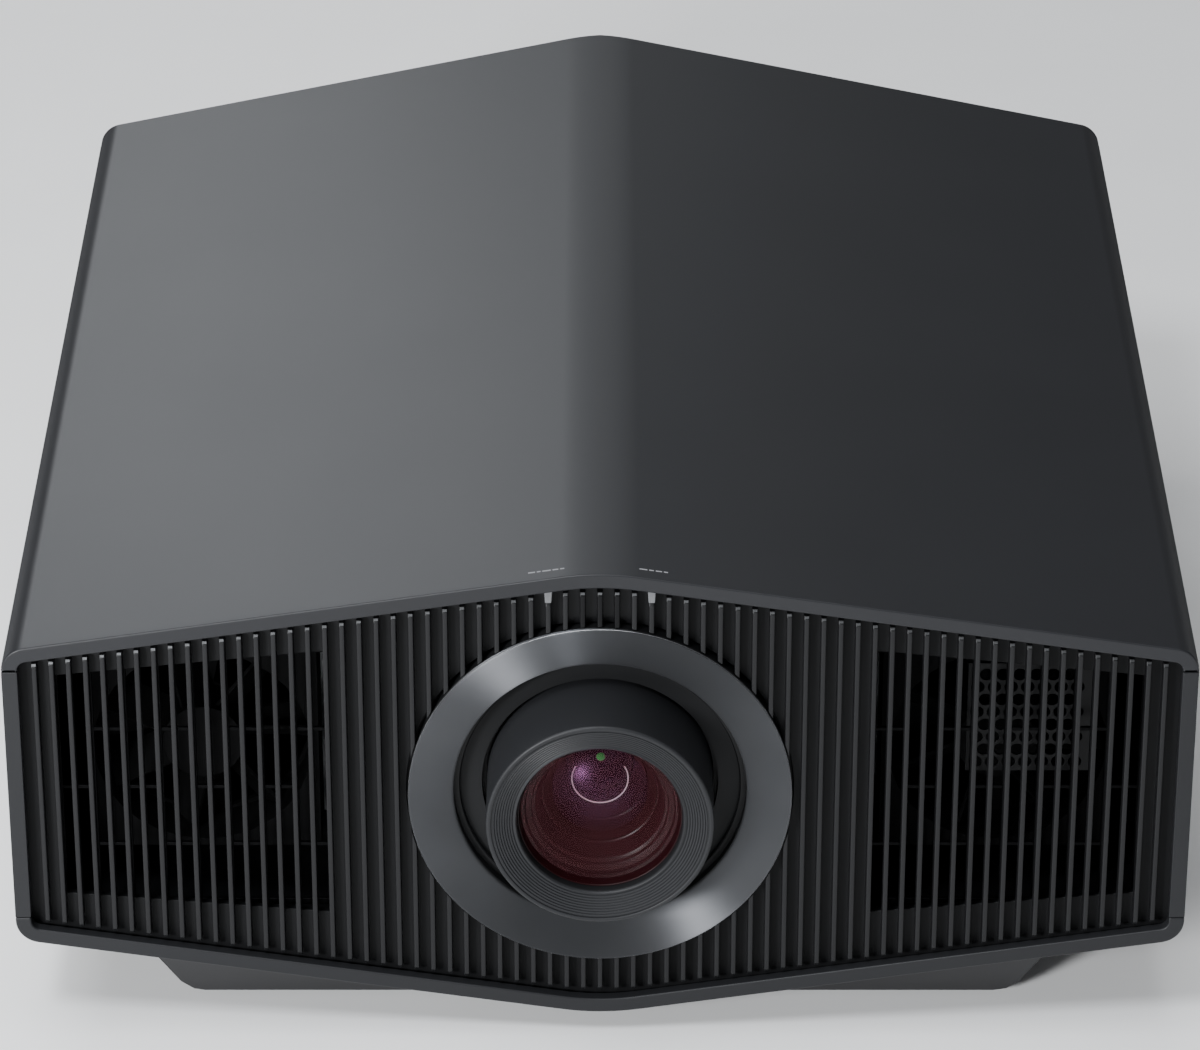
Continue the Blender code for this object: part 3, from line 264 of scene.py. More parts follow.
def bump(tree, height, distance):
    made = tree.nodes.new("ShaderNodeBump")
    made.inputs["Distance"].default_value = distance
    made.inputs["Strength"].default_value = 1.0
    tree.links.new(height, made.inputs["Height"])
    return made.outputs["Normal"]


def toned(base, amount):
    """A colour made lighter or darker by a share of itself."""
    return tuple(max(0.0, c * (1.0 + amount)) for c in base)


def plain(name, base, rough, vary=0.12, grain=900.0, grain_height=0.02, metallic=0.0, uneven=0.04,
          rim=None, **sockets):
    """A moulded, painted or machined surface: broad tone variation, fine grain and uneven gloss.
    With rim, the surface turns matt where it's seen edge-on."""
    made, tree, shader = new_material(name)
    vector = surface_coords(tree)
    broad = noise(tree, vector, 14.0, 4.0)
    fine = noise(tree, vector, grain, 2.0)
    colour = blend_colours(tree, broad, toned(base, -vary), toned(base, vary))
    tree.links.new(colour, shader.inputs["Base Color"])
    gloss = spread(tree, broad, rough - uneven, rough + uneven)
    if rim:
        layer = tree.nodes.new("ShaderNodeLayerWeight")
        layer.inputs["Blend"].default_value = 0.5
        edge_on = tree.nodes.new("ShaderNodeMapRange")
        edge_on.inputs["From Min"].default_value = 0.62
        edge_on.inputs["From Max"].default_value = 0.9
        edge_on.inputs["To Max"].default_value = rim
        tree.links.new(layer.outputs["Facing"], edge_on.inputs["Value"])
        tree.links.new(gloss, edge_on.inputs["To Min"])
        gloss = edge_on.outputs["Result"]
    tree.links.new(gloss, shader.inputs["Roughness"])
    tree.links.new(bump(tree, fine, grain_height * MM), shader.inputs["Normal"])
    shader.inputs["Metallic"].default_value = metallic
    for key, value in sockets.items():
        shader.inputs[key.replace("_", " ")].default_value = value
    return made


def brushed(name, base, rough, metallic=1.0):
    """Sheet or bar metal with drawn scratches along one way."""
    made, tree, shader = new_material(name)
    vector = surface_coords(tree)
    broad = noise(tree, vector, 20.0, 3.0)
    scratches = noise(tree, vector, 60.0, 5.0, 0.7, (1.0, 40.0, 1.0))
    colour = blend_colours(tree, scratches, toned(base, -0.2), toned(base, 0.15))
    tree.links.new(colour, shader.inputs["Base Color"])
    tree.links.new(spread(tree, broad, rough - 0.06, rough + 0.08), shader.inputs["Roughness"])
    tree.links.new(bump(tree, scratches, 0.02 * MM), shader.inputs["Normal"])
    shader.inputs["Metallic"].default_value = metallic
    return made


def turned_marks(tree, pitch):
    """Rings of fine tool marks round the lens axis, as noise along the radius alone."""
    offset = tree.nodes.new("ShaderNodeVectorMath")
    offset.operation = "SUBTRACT"
    offset.inputs[1].default_value = DATUM
    tree.links.new(surface_coords(tree), offset.inputs[0])
    flat = tree.nodes.new("ShaderNodeVectorMath")
    flat.operation = "MULTIPLY"
    flat.inputs[1].default_value = (1.0, 0.0, 1.0)
    tree.links.new(offset.outputs["Vector"], flat.inputs[0])
    length = tree.nodes.new("ShaderNodeVectorMath")
    length.operation = "LENGTH"
    tree.links.new(flat.outputs["Vector"], length.inputs[0])
    combine = tree.nodes.new("ShaderNodeCombineXYZ")
    tree.links.new(length.outputs["Value"], combine.inputs["X"])
    return noise(tree, combine.outputs["Vector"], 1.0 / pitch, 3.0, 0.6)


def turned_metal(name, base, rough, metallic, pitch, height, anisotropic=0.0):
    """Lathe-turned metal. With anisotropic, its highlights run outward from the lens axis."""
    made, tree, shader = new_material(name)
    marks = turned_marks(tree, pitch)
    broad = noise(tree, surface_coords(tree), 25.0, 3.0)
    colour = blend_colours(tree, broad, toned(base, -0.08), toned(base, 0.08))
    tree.links.new(colour, shader.inputs["Base Color"])
    tree.links.new(spread(tree, marks, rough - 0.05, rough + 0.05), shader.inputs["Roughness"])
    tree.links.new(bump(tree, marks, height), shader.inputs["Normal"])
    shader.inputs["Metallic"].default_value = metallic
    shader.inputs["Anisotropic"].default_value = anisotropic
    if anisotropic > 0.0:
        tangent = tree.nodes.new("ShaderNodeTangent")
        tangent.direction_type = "RADIAL"
        tangent.axis = "Y"
        tree.links.new(tangent.outputs["Tangent"], shader.inputs["Tangent"])
        shader.inputs["Anisotropic Rotation"].default_value = 0.25
    return made


def clear_glass(name, colour, ior):
    """Clear glass that bends light, with a faint smear."""
    made, tree, shader = new_material(name)
    smear = noise(tree, surface_coords(tree), 45.0, 3.0)
    tree.links.new(blend_colours(tree, smear, toned(colour, -0.03), colour), shader.inputs["Base Color"])
    tree.links.new(spread(tree, smear, 0.0, 0.012), shader.inputs["Roughness"])
    shader.inputs["Transmission Weight"].default_value = 1.0
    shader.inputs["IOR"].default_value = ior
    return made


def coated_glass(name, colour, tint, rough, ior, cover):
    """Coated lens glass as a dark mirror film. cover is the share of light that it holds back."""
    made, tree, shader = new_material(name)
    smear = noise(tree, surface_coords(tree), 45.0, 3.0)
    film = blend_colours(tree, smear, toned(colour, -0.1), toned(colour, 0.1))
    tree.links.new(film, shader.inputs["Base Color"])
    tree.links.new(spread(tree, smear, rough, rough + 0.02), shader.inputs["Roughness"])
    shader.inputs["IOR"].default_value = ior
    shader.inputs["Specular Tint"].default_value = (*tint, 1.0)
    shader.inputs["Alpha"].default_value = cover
    return made


def board_material(name):
    """Solder mask with copper runs under it."""
    made, tree, shader = new_material(name)
    vector = surface_coords(tree)
    brick = tree.nodes.new("ShaderNodeTexBrick")
    brick.inputs["Scale"].default_value = 120.0
    brick.inputs["Mortar Size"].default_value = 0.03
    brick.inputs["Color1"].default_value = (0.012, 0.075, 0.03, 1.0)
    brick.inputs["Color2"].default_value = (0.01, 0.06, 0.026, 1.0)
    brick.inputs["Mortar"].default_value = (0.03, 0.16, 0.06, 1.0)
    tree.links.new(vector, brick.inputs["Vector"])
    tree.links.new(brick.outputs["Color"], shader.inputs["Base Color"])
    fine = noise(tree, vector, 300.0)
    tree.links.new(spread(tree, fine, 0.3, 0.45), shader.inputs["Roughness"])
    tree.links.new(bump(tree, brick.outputs["Fac"], 0.03 * MM), shader.inputs["Normal"])
    return made


def foam_material(name):
    """Open-cell filter foam."""
    made, tree, shader = new_material(name)
    cells = tree.nodes.new("ShaderNodeTexVoronoi")
    cells.inputs["Scale"].default_value = 700.0
    tree.links.new(surface_coords(tree), cells.inputs["Vector"])
    distance = cells.outputs["Distance"]
    colour = blend_colours(tree, distance, (0.02, 0.02, 0.022), (0.12, 0.12, 0.125))
    tree.links.new(colour, shader.inputs["Base Color"])
    tree.links.new(spread(tree, distance, 0.85, 1.0), shader.inputs["Roughness"])
    tree.links.new(bump(tree, distance, 0.5 * MM), shader.inputs["Normal"])
    return made


# Each material slot of the record, and the look it gets
LOOKS = {
    "casing_top": plain("casing_top", (0.0125, 0.0128, 0.0144), 0.365, 0.04, 1500.0, 0.006, uneven=0.006,
                        rim=0.95, Specular_IOR_Level=0.22),
    "casing_lower": plain("casing_lower", (0.0105, 0.0108, 0.0120), 0.42, 0.05, 1500.0, 0.01, uneven=0.01,
                          Specular_IOR_Level=0.2),
    "casing_side": plain("casing_side", (0.0105, 0.0108, 0.0120), 0.42, 0.05, 1500.0, 0.01, uneven=0.01,
                         Specular_IOR_Level=0.2),
    "casing_rear": plain("casing_rear", (0.012, 0.0122, 0.0133), 0.5, 0.08, 1100.0, 0.02),
    "base_black": plain("base_black", (0.011, 0.011, 0.012), 0.55, 0.1, 800.0, 0.03),
    "filter_foam": foam_material("filter_foam"),
    "grille_black": plain("grille_black", (0.0055, 0.0056, 0.0062), 0.42, 0.08, 1300.0, 0.01,
                          Specular_IOR_Level=0.22),
    "guard_black": plain("guard_black", (0.0022, 0.0022, 0.0026), 0.5, 0.08, 1300.0, 0.01,
                         Specular_IOR_Level=0.1),
    "punched_steel": plain("punched_steel", (0.0058, 0.0058, 0.0064), 0.42, 0.12, 900.0, 0.01,
                           Specular_IOR_Level=0.25),
    "trim_satin": turned_metal("trim_satin", (0.078, 0.08, 0.085), 0.5, 0.95, 0.25 * MM, 0.002 * MM, 1.0),
    "shroud_black": plain("shroud_black", (0.0042, 0.0043, 0.0047), 0.5, 0.08, 1200.0, 0.015,
                          Specular_IOR_Level=0.22),
    "barrel_matte": plain("barrel_matte", (0.012, 0.0124, 0.0137), 0.44, 0.06, 1500.0, 0.008,
                          Specular_IOR_Level=0.2),
    "coated_glass": coated_glass("coated_glass", (0.012, 0.002, 0.003), (1.0, 0.33, 0.4), 0.02, 1.6, 0.13),
    "prism_glass": clear_glass("prism_glass", (0.93, 0.96, 1.0), 1.52),
    "light_guide": plain("light_guide", (0.09, 0.092, 0.096), 0.35, 0.05, 500.0, 0.01),
    "foot_rubber": plain("foot_rubber", (0.014, 0.014, 0.014), 0.85, 0.15, 700.0, 0.05),
    "steel": brushed("steel", (0.5, 0.51, 0.52), 0.32),
    "cast_alloy": plain("cast_alloy", (0.42, 0.43, 0.44), 0.45, 0.1, 260.0, 0.08, metallic=0.9),
    "brass": brushed("brass", (0.62, 0.45, 0.19), 0.28),
    "gear_plastic": plain("gear_plastic", (0.52, 0.5, 0.44), 0.4, 0.05, 600.0, 0.01),
    "panel_black": plain("panel_black", (0.018, 0.018, 0.02), 0.4, 0.1, 500.0, 0.01),
    "phosphor": plain("phosphor", (0.7, 0.56, 0.08), 0.6, 0.12, 500.0, 0.02),
    "fan_black": plain("fan_black", (0.0028, 0.0028, 0.003), 0.75, 0.1, 900.0, 0.015,
                       Specular_IOR_Level=0.15),
    "circuit_board": board_material("circuit_board"),
    "terminal_metal": brushed("terminal_metal", (0.02, 0.02, 0.022), 0.42, 0.4),
    "socket_black": plain("socket_black", (0.012, 0.012, 0.013), 0.45, 0.1, 700.0, 0.01),
    "button_black": plain("button_black", (0.02, 0.02, 0.022), 0.38, 0.08, 900.0, 0.008),
}

# Looks of pieces that the record has no slot for
LENS_INSIDE = plain("lens_inside", (0.0095, 0.0016, 0.0021), 0.32, 0.1, 1500.0, 0.002,
                    Specular_IOR_Level=0.13)
INNER_GLASS = coated_glass("inner_glass", (0.01, 0.002, 0.004), (0.9, 0.35, 0.6), 0.05, 1.6, 0.15)
HAZED_GLASS = coated_glass("hazed_glass", (0.008, 0.002, 0.006), (1.0, 0.42, 0.95), 0.34, 1.8, 0.2)
# Bright green paint for a small bead inside the lens: a painted reflection standing for the green ghost of an
# inner coating.
GREEN_GHOST_PAINT = plain("green_ghost_paint", (0.02, 0.95, 0.12), 0.4, 0.1, 600.0, 0.002)
SKIRT_BLACK = plain("skirt_black", (0.0055, 0.0057, 0.0062), 0.5, 0.06, 1500.0, 0.008,
                    Specular_IOR_Level=0.16)
# Near-white paint for an arc inside the lens: a painted highlight standing for the lit edge of an inner
# glass.
LIT_EDGE_PAINT = plain("lit_edge_paint", (0.9, 0.84, 0.84), 0.4, 0.1, 600.0, 0.01)
SENSOR_BLACK = plain("sensor_black", (0.003, 0.003, 0.0034), 0.3, 0.1, 900.0, 0.004, Specular_IOR_Level=0.12)
# Bright metal for the strips on the fins' top chamfers: a painted highlight, not the fins' own finish.
FIN_GLINT_PAINT = plain("fin_glint_paint", (0.13, 0.133, 0.137), 0.38, 0.08, 1300.0, 0.01, metallic=1.0)
POLISHED = turned_metal("polished_edge", (0.75, 0.76, 0.78), 0.34, 1.0, 0.25 * MM, 0.001 * MM)
# A darker copy of the grille's black for the floor between the fins: painted shade of the deep channels.
SHADED_GRILLE_FLOOR = plain("grille_floor_painted_shade", (0.0045, 0.0046, 0.005), 0.5, 0.08, 1300.0, 0.01,
                     Specular_IOR_Level=0.13)
SCREW_BLACK = plain("screw_black", (0.03, 0.03, 0.032), 0.35, 0.1, 700.0, 0.01, metallic=0.6)
PRINTED = plain("printed_mark", (0.2, 0.2, 0.21), 0.5, 0.05, 900.0, 0.0)


# ---------------------------------------------------------------- mesh helpers

def along(axis, u, v, w):
    """The point w along an axis, and (u, v) across it."""
    if axis == "X":
        return Vector((w, u, v))
    if axis == "Y":
        return Vector((u, w, v))
    return Vector((u, v, w))


def add_prism(mesh_edit, outline, low, high, axis="Y"):
    """A flat outline drawn out along an axis."""
    near = [mesh_edit.verts.new(along(axis, u, v, low)) for u, v in outline]
    far = [mesh_edit.verts.new(along(axis, u, v, high)) for u, v in outline]
    count = len(outline)
    mesh_edit.faces.new(near)
    mesh_edit.faces.new(far[::-1])
    for i in range(count):
        j = (i + 1) % count
        mesh_edit.faces.new((near[j], near[i], far[i], far[j]))


def add_box(mesh_edit, low, high):
    x0, y0, z0 = low
    x1, y1, z1 = high
    add_prism(mesh_edit, [(x0, z0), (x1, z0), (x1, z1), (x0, z1)], y0, y1)


def add_turned(mesh_edit, profile, segments, axis="Y", centre=(0.0, 0.0)):
    """A solid of revolution. The profile lists (radius, distance along the axis)."""
    rings = []
    for radius, distance in profile:
        if radius < ON_AXIS:
            rings.append([mesh_edit.verts.new(along(axis, *centre, distance))])
            continue
        ring = []
        for i in range(segments):
            turn = 2.0 * math.pi * i / segments
            u = centre[0] + radius * math.cos(turn)
            v = centre[1] + radius * math.sin(turn)
            ring.append(mesh_edit.verts.new(along(axis, u, v, distance)))
        rings.append(ring)
    pairs = list(zip(rings, rings[1:]))
    if all(radius > ON_AXIS for radius, _ in profile):
        pairs.append((rings[-1], rings[0]))
    for first, second in pairs:
        if len(first) == 1 and len(second) == 1:
            continue
        for i in range(segments):
            j = (i + 1) % segments
            if len(first) == 1:
                mesh_edit.faces.new((first[0], second[j], second[i]))
            elif len(second) == 1:
                mesh_edit.faces.new((first[i], first[j], second[0]))
            else:
                mesh_edit.faces.new((first[i], first[j], second[j], second[i]))


def new_object(name, mesh_edit):
    """Makes an object from a bmesh drawn in millimetres from the datum."""
    bmesh.ops.recalc_face_normals(mesh_edit, faces=mesh_edit.faces)
    mesh_edit.transform(PLACE)
    mesh = bpy.data.meshes.new(name)
    mesh_edit.to_mesh(mesh)
    mesh_edit.free()
    made = bpy.data.objects.new(name, mesh)
    bpy.context.scene.collection.objects.link(made)
    return made


def piece(name, mesh_edit, material, body, replaced=(), smooth=30):
    """Makes a piece, hides the solids that it replaces, hangs it on its body's empty and gives it its
    material.
    """
    made = new_object(name, mesh_edit)
    made.data.shade_smooth()
    made.data.set_sharp_from_angle(angle=math.radians(smooth))
    made.data.materials.append(material)
    if replaced:
        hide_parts(*replaced)
    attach(made, body)
    return made


def fixed_piece(name, mesh_edit, slot, replaced=()):
    """A piece that is part of the housing and has its slot's own look."""
    return piece(name, mesh_edit, LOOKS[slot], "housing", replaced)


def soften(made, width, segments=2, angle=30.0, clamp=True):
    """Rounds the sharp edges a little and keeps the flat faces flat."""
    edge = made.modifiers.new("edges", "BEVEL")
    edge.width = width * MM
    edge.segments = segments
    edge.limit_method = "ANGLE"
    edge.angle_limit = math.radians(angle)
    edge.miter_outer = "MITER_ARC"
    edge.use_clamp_overlap = clamp
    flat = made.modifiers.new("flat", "WEIGHTED_NORMAL")
    flat.keep_sharp = False
    flat.weight = 60


def difference(made, cutter_edit):
    """Cuts a second solid out of a piece."""
    cutter = new_object("cutter", cutter_edit)
    step = made.modifiers.new("step", "BOOLEAN")
    step.operation = "DIFFERENCE"
    step.solver = "EXACT"
    step.object = cutter
    bpy.context.view_layer.update()
    graph = bpy.context.evaluated_depsgraph_get()
    result = bpy.data.meshes.new_from_object(made.evaluated_get(graph))
    made.modifiers.clear()
    made.data = result
    bpy.data.objects.remove(cutter)


def arc(radius, start, stop, steps, centre=(0.0, 0.0)):
    """Points (u, v) on an arc, with the angles in degrees."""
    points = []
    for i in range(steps + 1):
        turn = math.radians(start + (stop - start) * i / steps)
        points.append((centre[0] + radius * math.cos(turn), centre[1] + radius * math.sin(turn)))
    return points


# ---------------------------------------------------------------- casing

def roof_line(x, inset=0.0):
    """The height of the roof at x, or of a line parallel to it below."""
    return RIDGE_RISE - ROOF_SLOPE * abs(x) - inset * TALL


def rear_depth(x):
    """The depth of the pointed rear edge at x."""
    return SIDE_DEPTH + REAR_PROW * (1.0 - abs(x) / HALF_WIDTH)


def half_roof(inset, seam):
    """The cover's section from the seam up over the corner to the ridge, as (x, z)."""
    width = HALF_WIDTH - inset
    corner = max(CORNER_RADIUS - inset, LEAST_CORNER)
    ridge = RIDGE_RADIUS - inset
    top = roof_line(0.0, inset)
    centre_x = width - corner
    centre_z = top - ROOF_SLOPE * centre_x - corner * TALL
    last = math.pi / 2 - ROOF_ANGLE
    points = [(width, seam)]
    for i in range(CORNER_STEPS + 1):
        turn = last * i / CORNER_STEPS
        points.append((centre_x + corner * math.cos(turn), centre_z + corner * math.sin(turn)))
    start = points[-1]
    stop = (ridge * math.cos(last), top - ridge * TALL + ridge * math.sin(last))
    for i in range(1, FLAT_STEPS):
        share = i / FLAT_STEPS
        points.append((start[0] + (stop[0] - start[0]) * share, start[1] + (stop[1] - start[1]) * share))
    for i in range(RIDGE_STEPS + 1):
        turn = last + ROOF_ANGLE * i / RIDGE_STEPS
        points.append((ridge * math.cos(turn), top - ridge * TALL + ridge * math.sin(turn)))
    points[-1] = (0.0, points[-1][1])
    return points


def full_roof(inset, seam):
    """The whole section, from the seam on one side to the seam on the other."""
    half = half_roof(inset, seam)
    return half + [(-x, z) for x, z in half[-2::-1]]


def make_cover(name, seam, sign, slot):
    """The top cover, or with sign -1 its mirror image below, as a shell with a thick front lip."""
    made = bmesh.new()

    def ring(inset, depth):
        return [made.verts.new((x, depth, sign * z)) for x, z in full_roof(inset, seam)]

    def rear_ring(inset):
        return [made.verts.new((x, rear_depth(x), sign * z)) for x, z in full_roof(inset, seam)]

    stations = [
        (ring(0.0, 0.0), ring(LIP, 0.0)),
        (ring(0.0, LIP_DEPTH), ring(LIP, LIP_DEPTH)),
        (ring(0.0, LIP_DEPTH + 1.0), ring(WALL, LIP_DEPTH)),
        *[(ring(0.0, depth), ring(WALL, depth)) for depth in SHELL_DEPTHS],
        (rear_ring(0.0), rear_ring(WALL)),
    ]
    for (outer_a, inner_a), (outer_b, inner_b) in zip(stations, stations[1:]):
        loop_a = outer_a + inner_a[::-1]
        loop_b = outer_b + inner_b[::-1]
        for i in range(len(loop_a)):
            j = (i + 1) % len(loop_a)
            made.faces.new((loop_a[i], loop_a[j], loop_b[j], loop_b[i]))
    for outer, inner in (stations[0], stations[-1]):
        for i in range(len(outer) - 1):
            made.faces.new((outer[i], outer[i + 1], inner[i + 1], inner[i]))
    built = fixed_piece(name + "_shell", made, slot, [name])
    soften(built, 0.8, 4, clamp=False)


def side_plan(sign):
    """The side panel's outline seen from above, as (x, depth)."""
    proud = HALF_WIDTH + PANEL_PROUD
    back = rear_depth(HALF_WIDTH)
    plan = [
        (HALF_WIDTH, 0.0),
        (HALF_WIDTH, LIP_DEPTH),
        (proud, LIP_DEPTH + PANEL_PROUD),
        (proud, back),
        (HALF_WIDTH - WALL, back),
        (HALF_WIDTH - WALL, LIP_DEPTH),
        (HALF_WIDTH - LIP, LIP_DEPTH),
        (HALF_WIDTH - LIP, 0.0),
    ]
    return [(sign * x, y) for x, y in plan]


def rounded_rectangle(u0, u1, v0, v1, radius, steps=6):
    points = []
    points += arc(radius, 0, 90, steps, (u1 - radius, v1 - radius))
    points += arc(radius, 90, 180, steps, (u0 + radius, v1 - radius))
    points += arc(radius, 180, 270, steps, (u0 + radius, v0 + radius))
    points += arc(radius, 270, 360, steps, (u1 - radius, v0 + radius))
    return points


def side_skin(side, sign):
    """One side panel between the two seams."""
    made = bmesh.new()
    add_prism(made, side_plan(sign), SEAM_BOTTOM + GAP / 2, SEAM_TOP - GAP / 2, "Z")
    node = "side_panel_" + side
    return fixed_piece(node + "_skin", made, "casing_side", [node])


def make_sides():
    """The side panels: a recess for the ports in the left one, and holes for the buttons in the right one."""
    left = side_skin("left", -1.0)
    cutter = bmesh.new()
    add_prism(cutter, rounded_rectangle(*PORT_RECESS, PORT_RECESS_RADIUS), -240.0, -220.0, "X")
    difference(left, cutter)
    soften(left, 0.5, 3)

    right = side_skin("right", 1.0)
    cutter = bmesh.new()
    for node in ("power_button", "menu_button", "cursor_pad"):
        lowest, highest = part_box(node)
        depth = ((lowest.y + highest.y) / 2 - DATUM.y) / MM
        height = ((lowest.z + highest.z) / 2 - DATUM.z) / MM
        radius = (highest.z - lowest.z) / 2 / MM + BUTTON_CLEAR
        hole = [(0.0, 220.0), (radius, 220.0), (radius, 240.0), (0.0, 240.0)]
        add_turned(cutter, hole, 64, "X", (depth, height))
    difference(right, cutter)
    soften(right, 0.4, 3)


# ---------------------------------------------------------------- front grille

def hexagon(inset):
    """The whole casing's section, pointed at the ridge and the keel."""
    upper = half_roof(inset, 0.0)[1:]
    lower = [(x, -z) for x, z in upper[::-1]]
    half = lower + upper
    return half + [(-x, z) for x, z in half[-2:0:-1]]


def fin_section():
    """A fin across its length, as (across, depth): a flat rounded nose on a slightly wider root."""
    corner_x = FIN_NOSE - FIN_EASE
    corner_y = FIN_FRONT + FIN_EASE
    points = [(FIN_ROOT, BACKING_FRONT + GAP)]
    points += arc(FIN_EASE, 0, -90, 4, (corner_x, corner_y))
    points += arc(FIN_EASE, -90, -180, 4, (-corner_x, corner_y))
    points.append((-FIN_ROOT, BACKING_FRONT + GAP))
    return points


def add_fin(mesh_edit, x, bottom, top):
    """One upright fin with its nose chamfered back at both ends."""

    def ring(z, ease):
        return [mesh_edit.verts.new((x + u, max(depth, FIN_FRONT + ease), z)) for u, depth in fin_section()]

    stations = [ring(bottom, CHAMFER_BACK), ring(bottom + FIN_CHAMFER, 0.0)]
    stations += [ring(top - FIN_CHAMFER, 0.0), ring(top, CHAMFER_BACK)]
    for first, second in zip(stations, stations[1:]):
        for i in range(len(first)):
            j = (i + 1) % len(first)
            mesh_edit.faces.new((first[i], first[j], second[j], second[i]))
    mesh_edit.faces.new(stations[0])
    mesh_edit.faces.new(stations[-1][::-1])


def add_glint_strip(mesh_edit, x, top):
    """A thin bright metal strip lying on the chamfer at the top of a fin: a painted highlight standing for
    the glint of light on the chamfer.
    """
    half = FIN_NOSE - CAP_MARGIN
    slope = CHAMFER_BACK / FIN_CHAMFER
    low = top - CAP_HEIGHT
    front = FIN_FRONT + (FIN_CHAMFER - CAP_HEIGHT) * slope - CAP_LIFT
    back = FIN_FRONT + CHAMFER_BACK - CAP_LIFT
    outline = [(front, low), (back, top), (back + CAP_THICKNESS, top), (front + CAP_THICKNESS, low)]
    add_prism(mesh_edit, outline, x - half, x + half, "X")


def fin_reach(index):
    """The top of a fin, which runs as far below the axis as above it."""
    return roof_line(max(abs(index) * FIN_PITCH, RIDGE_HALF), LIP + FIN_END_CLEAR)


def lens_hole():
    """The cutter for the round opening in the grille."""
    cutter = bmesh.new()
    add_turned(cutter, [(0.0, 0.0), (GRILLE_HOLE, 0.0), (GRILLE_HOLE, 12.0), (0.0, 12.0)], LENS_SEGMENTS)
    return cutter


def grille_piece(name, mesh_edit, material, cutters):
    made = piece(name, mesh_edit, material, "housing", ["front_grille"])
    for cutter in cutters:
        difference(made, cutter)
    made.data.set_sharp_from_angle(angle=math.radians(27))
    return made


def make_grille():
    """The fins, the floor of the channels between them in a darker copy of the fin material that paints their
    shade, and the darker sensor window over the lens.
    """
    fins = bmesh.new()
    sensor = bmesh.new()
    glint_strips = bmesh.new()
    for index in range(-FINS_EACH_SIDE, FINS_EACH_SIDE + 1):
        high = fin_reach(index)
        top = LIGHT_BOTTOM - 0.2 if abs(index) == LIGHT_FIN else high
        if abs(index) <= SENSOR_FINS:
            add_fin(sensor, index * FIN_PITCH, 0.0, top)
            add_fin(fins, index * FIN_PITCH, -high, 0.0)
        else:
            add_fin(fins, index * FIN_PITCH, -high, top)
        # A painted highlight strip on the top chamfer of each fin except those under the light guides.
        if abs(index) != LIGHT_FIN:
            add_glint_strip(glint_strips, index * FIN_PITCH, top)
    grille_piece("fin_glint_strips", glint_strips, FIN_GLINT_PAINT, [])
    grille_piece("grille_fins", fins, LOOKS["grille_black"], [lens_hole()])
    grille_piece("sensor_fins", sensor, SENSOR_BLACK, [lens_hole()])

    half = (SENSOR_FINS + 1) * FIN_PITCH - FIN_NOSE - 0.1
    top = roof_line(half, WALL + GAP)
    window = bmesh.new()
    add_box(window, (-half, SENSOR_FLOOR, SENSOR_BOTTOM), (half, BACKING_FRONT - 0.05, top))
    grille_piece("sensor_window", window, SENSOR_BLACK, [lens_hole()])

    backing = bmesh.new()
    add_prism(backing, hexagon(WALL + GAP), BACKING_FRONT, BACKING_BACK)
    windows = bmesh.new()
    for sign in (-1, 1):
        outline = [(sign * x, z) for x, z in WINDOW_OUTLINE]
        add_prism(windows, outline, BACKING_FRONT - 1.0, BACKING_BACK + 1.0)
    # The channel floor takes the darker copy, which paints the shade between the fins.
    soften(grille_piece("grille_back", backing, SHADED_GRILLE_FLOOR, [windows, lens_hole()]), 0.4, 2, 40.0)


def make_lattice(name, sign):
    """Upright bars behind every second fin, tied by short bars laid like bricks."""
    front, back = LATTICE_DEPTH
    first, last = LATTICE_FINS
    made = bmesh.new()

    def bar(x, wide, z, tall, inset):
        add_box(made, (x - wide, front + inset, z - tall), (x + wide, back - inset, z + tall))

    for index in range(first, last, 2):
        bar(sign * index * FIN_PITCH, BAR_HALF, 0.0, LATTICE_REACH, 0.0)
    for index in range(first + 1, last, 2):
        levels = LATTICE_ROWS[0::2] if index % 4 == 1 else LATTICE_ROWS[1:2]
        for level in levels:
            bar(sign * index * FIN_PITCH, FIN_PITCH - BAR_HALF + 0.2, level, BAR_HALF, 0.2)
    inner = first * FIN_PITCH + 0.8
    outer = last * FIN_PITCH - 2.0
    for level in (LATTICE_RAIL, -LATTICE_RAIL):
        bar(sign * (inner + outer) / 2, (outer - inner) / 2, level, RAIL_HALF, 0.1)
    soften(fixed_piece(name + "_bars", made, "guard_black", [name]), 0.25, 2)


def make_screen():
    """The punched screen behind the right window, with round holes."""
    x0, x1 = SCREEN_X
    z0, z1 = SCREEN_Z
    front, back = SCREEN_DEPTH
    made = bmesh.new()
    add_box(made, (x0, front, z0), (x1, back, z1))
    screen = fixed_piece("punched_screen", made, "punched_steel", ["perforated_plate"])
    cutter = bmesh.new()
    hole = [(0.0, front - 1.0), (HOLE_RADIUS, front - 1.0), (HOLE_RADIUS, back + 0.8), (0.0, back + 0.8)]
    row_pitch = HOLE_PITCH * math.sqrt(3.0) / 2.0
    rows = int((z1 - z0 - 2 * HOLE_RADIUS - 2.0) / row_pitch) + 1
    for row in range(rows):
        shift = HOLE_PITCH / 2 if row % 2 else 0.0
        z = z0 + HOLE_RADIUS + 1.6 + row * row_pitch
        for column in range(SCREEN_COLUMNS):
            x = x0 + HOLE_RADIUS + 1.4 + shift + column * HOLE_PITCH
            if x + HOLE_RADIUS < x1 - 0.6:
                add_turned(cutter, hole, 20, "Y", (x, z))
    difference(screen, cutter)
    soften(screen, 0.25, 2)


def make_light_guides():
    """Two clear guides for the status lights, each filling the place of a fin's top."""
    top = roof_line(LIGHT_FIN * FIN_PITCH, LIP) - GAP
    for side, sign in (("left", -1), ("right", 1)):
        x = sign * LIGHT_FIN * FIN_PITCH
        made = bmesh.new()
        outline = [(x - 1.2, LIGHT_BOTTOM), (x + 1.2, LIGHT_BOTTOM), (x + 1.55, top), (x - 1.55, top)]
        add_prism(made, outline, FIN_FRONT - 0.2, BACKING_FRONT - GAP)
        guide = fixed_piece("light_guide_" + side, made, "light_guide", ["status_light_" + side])
        soften(guide, 0.3, 3)


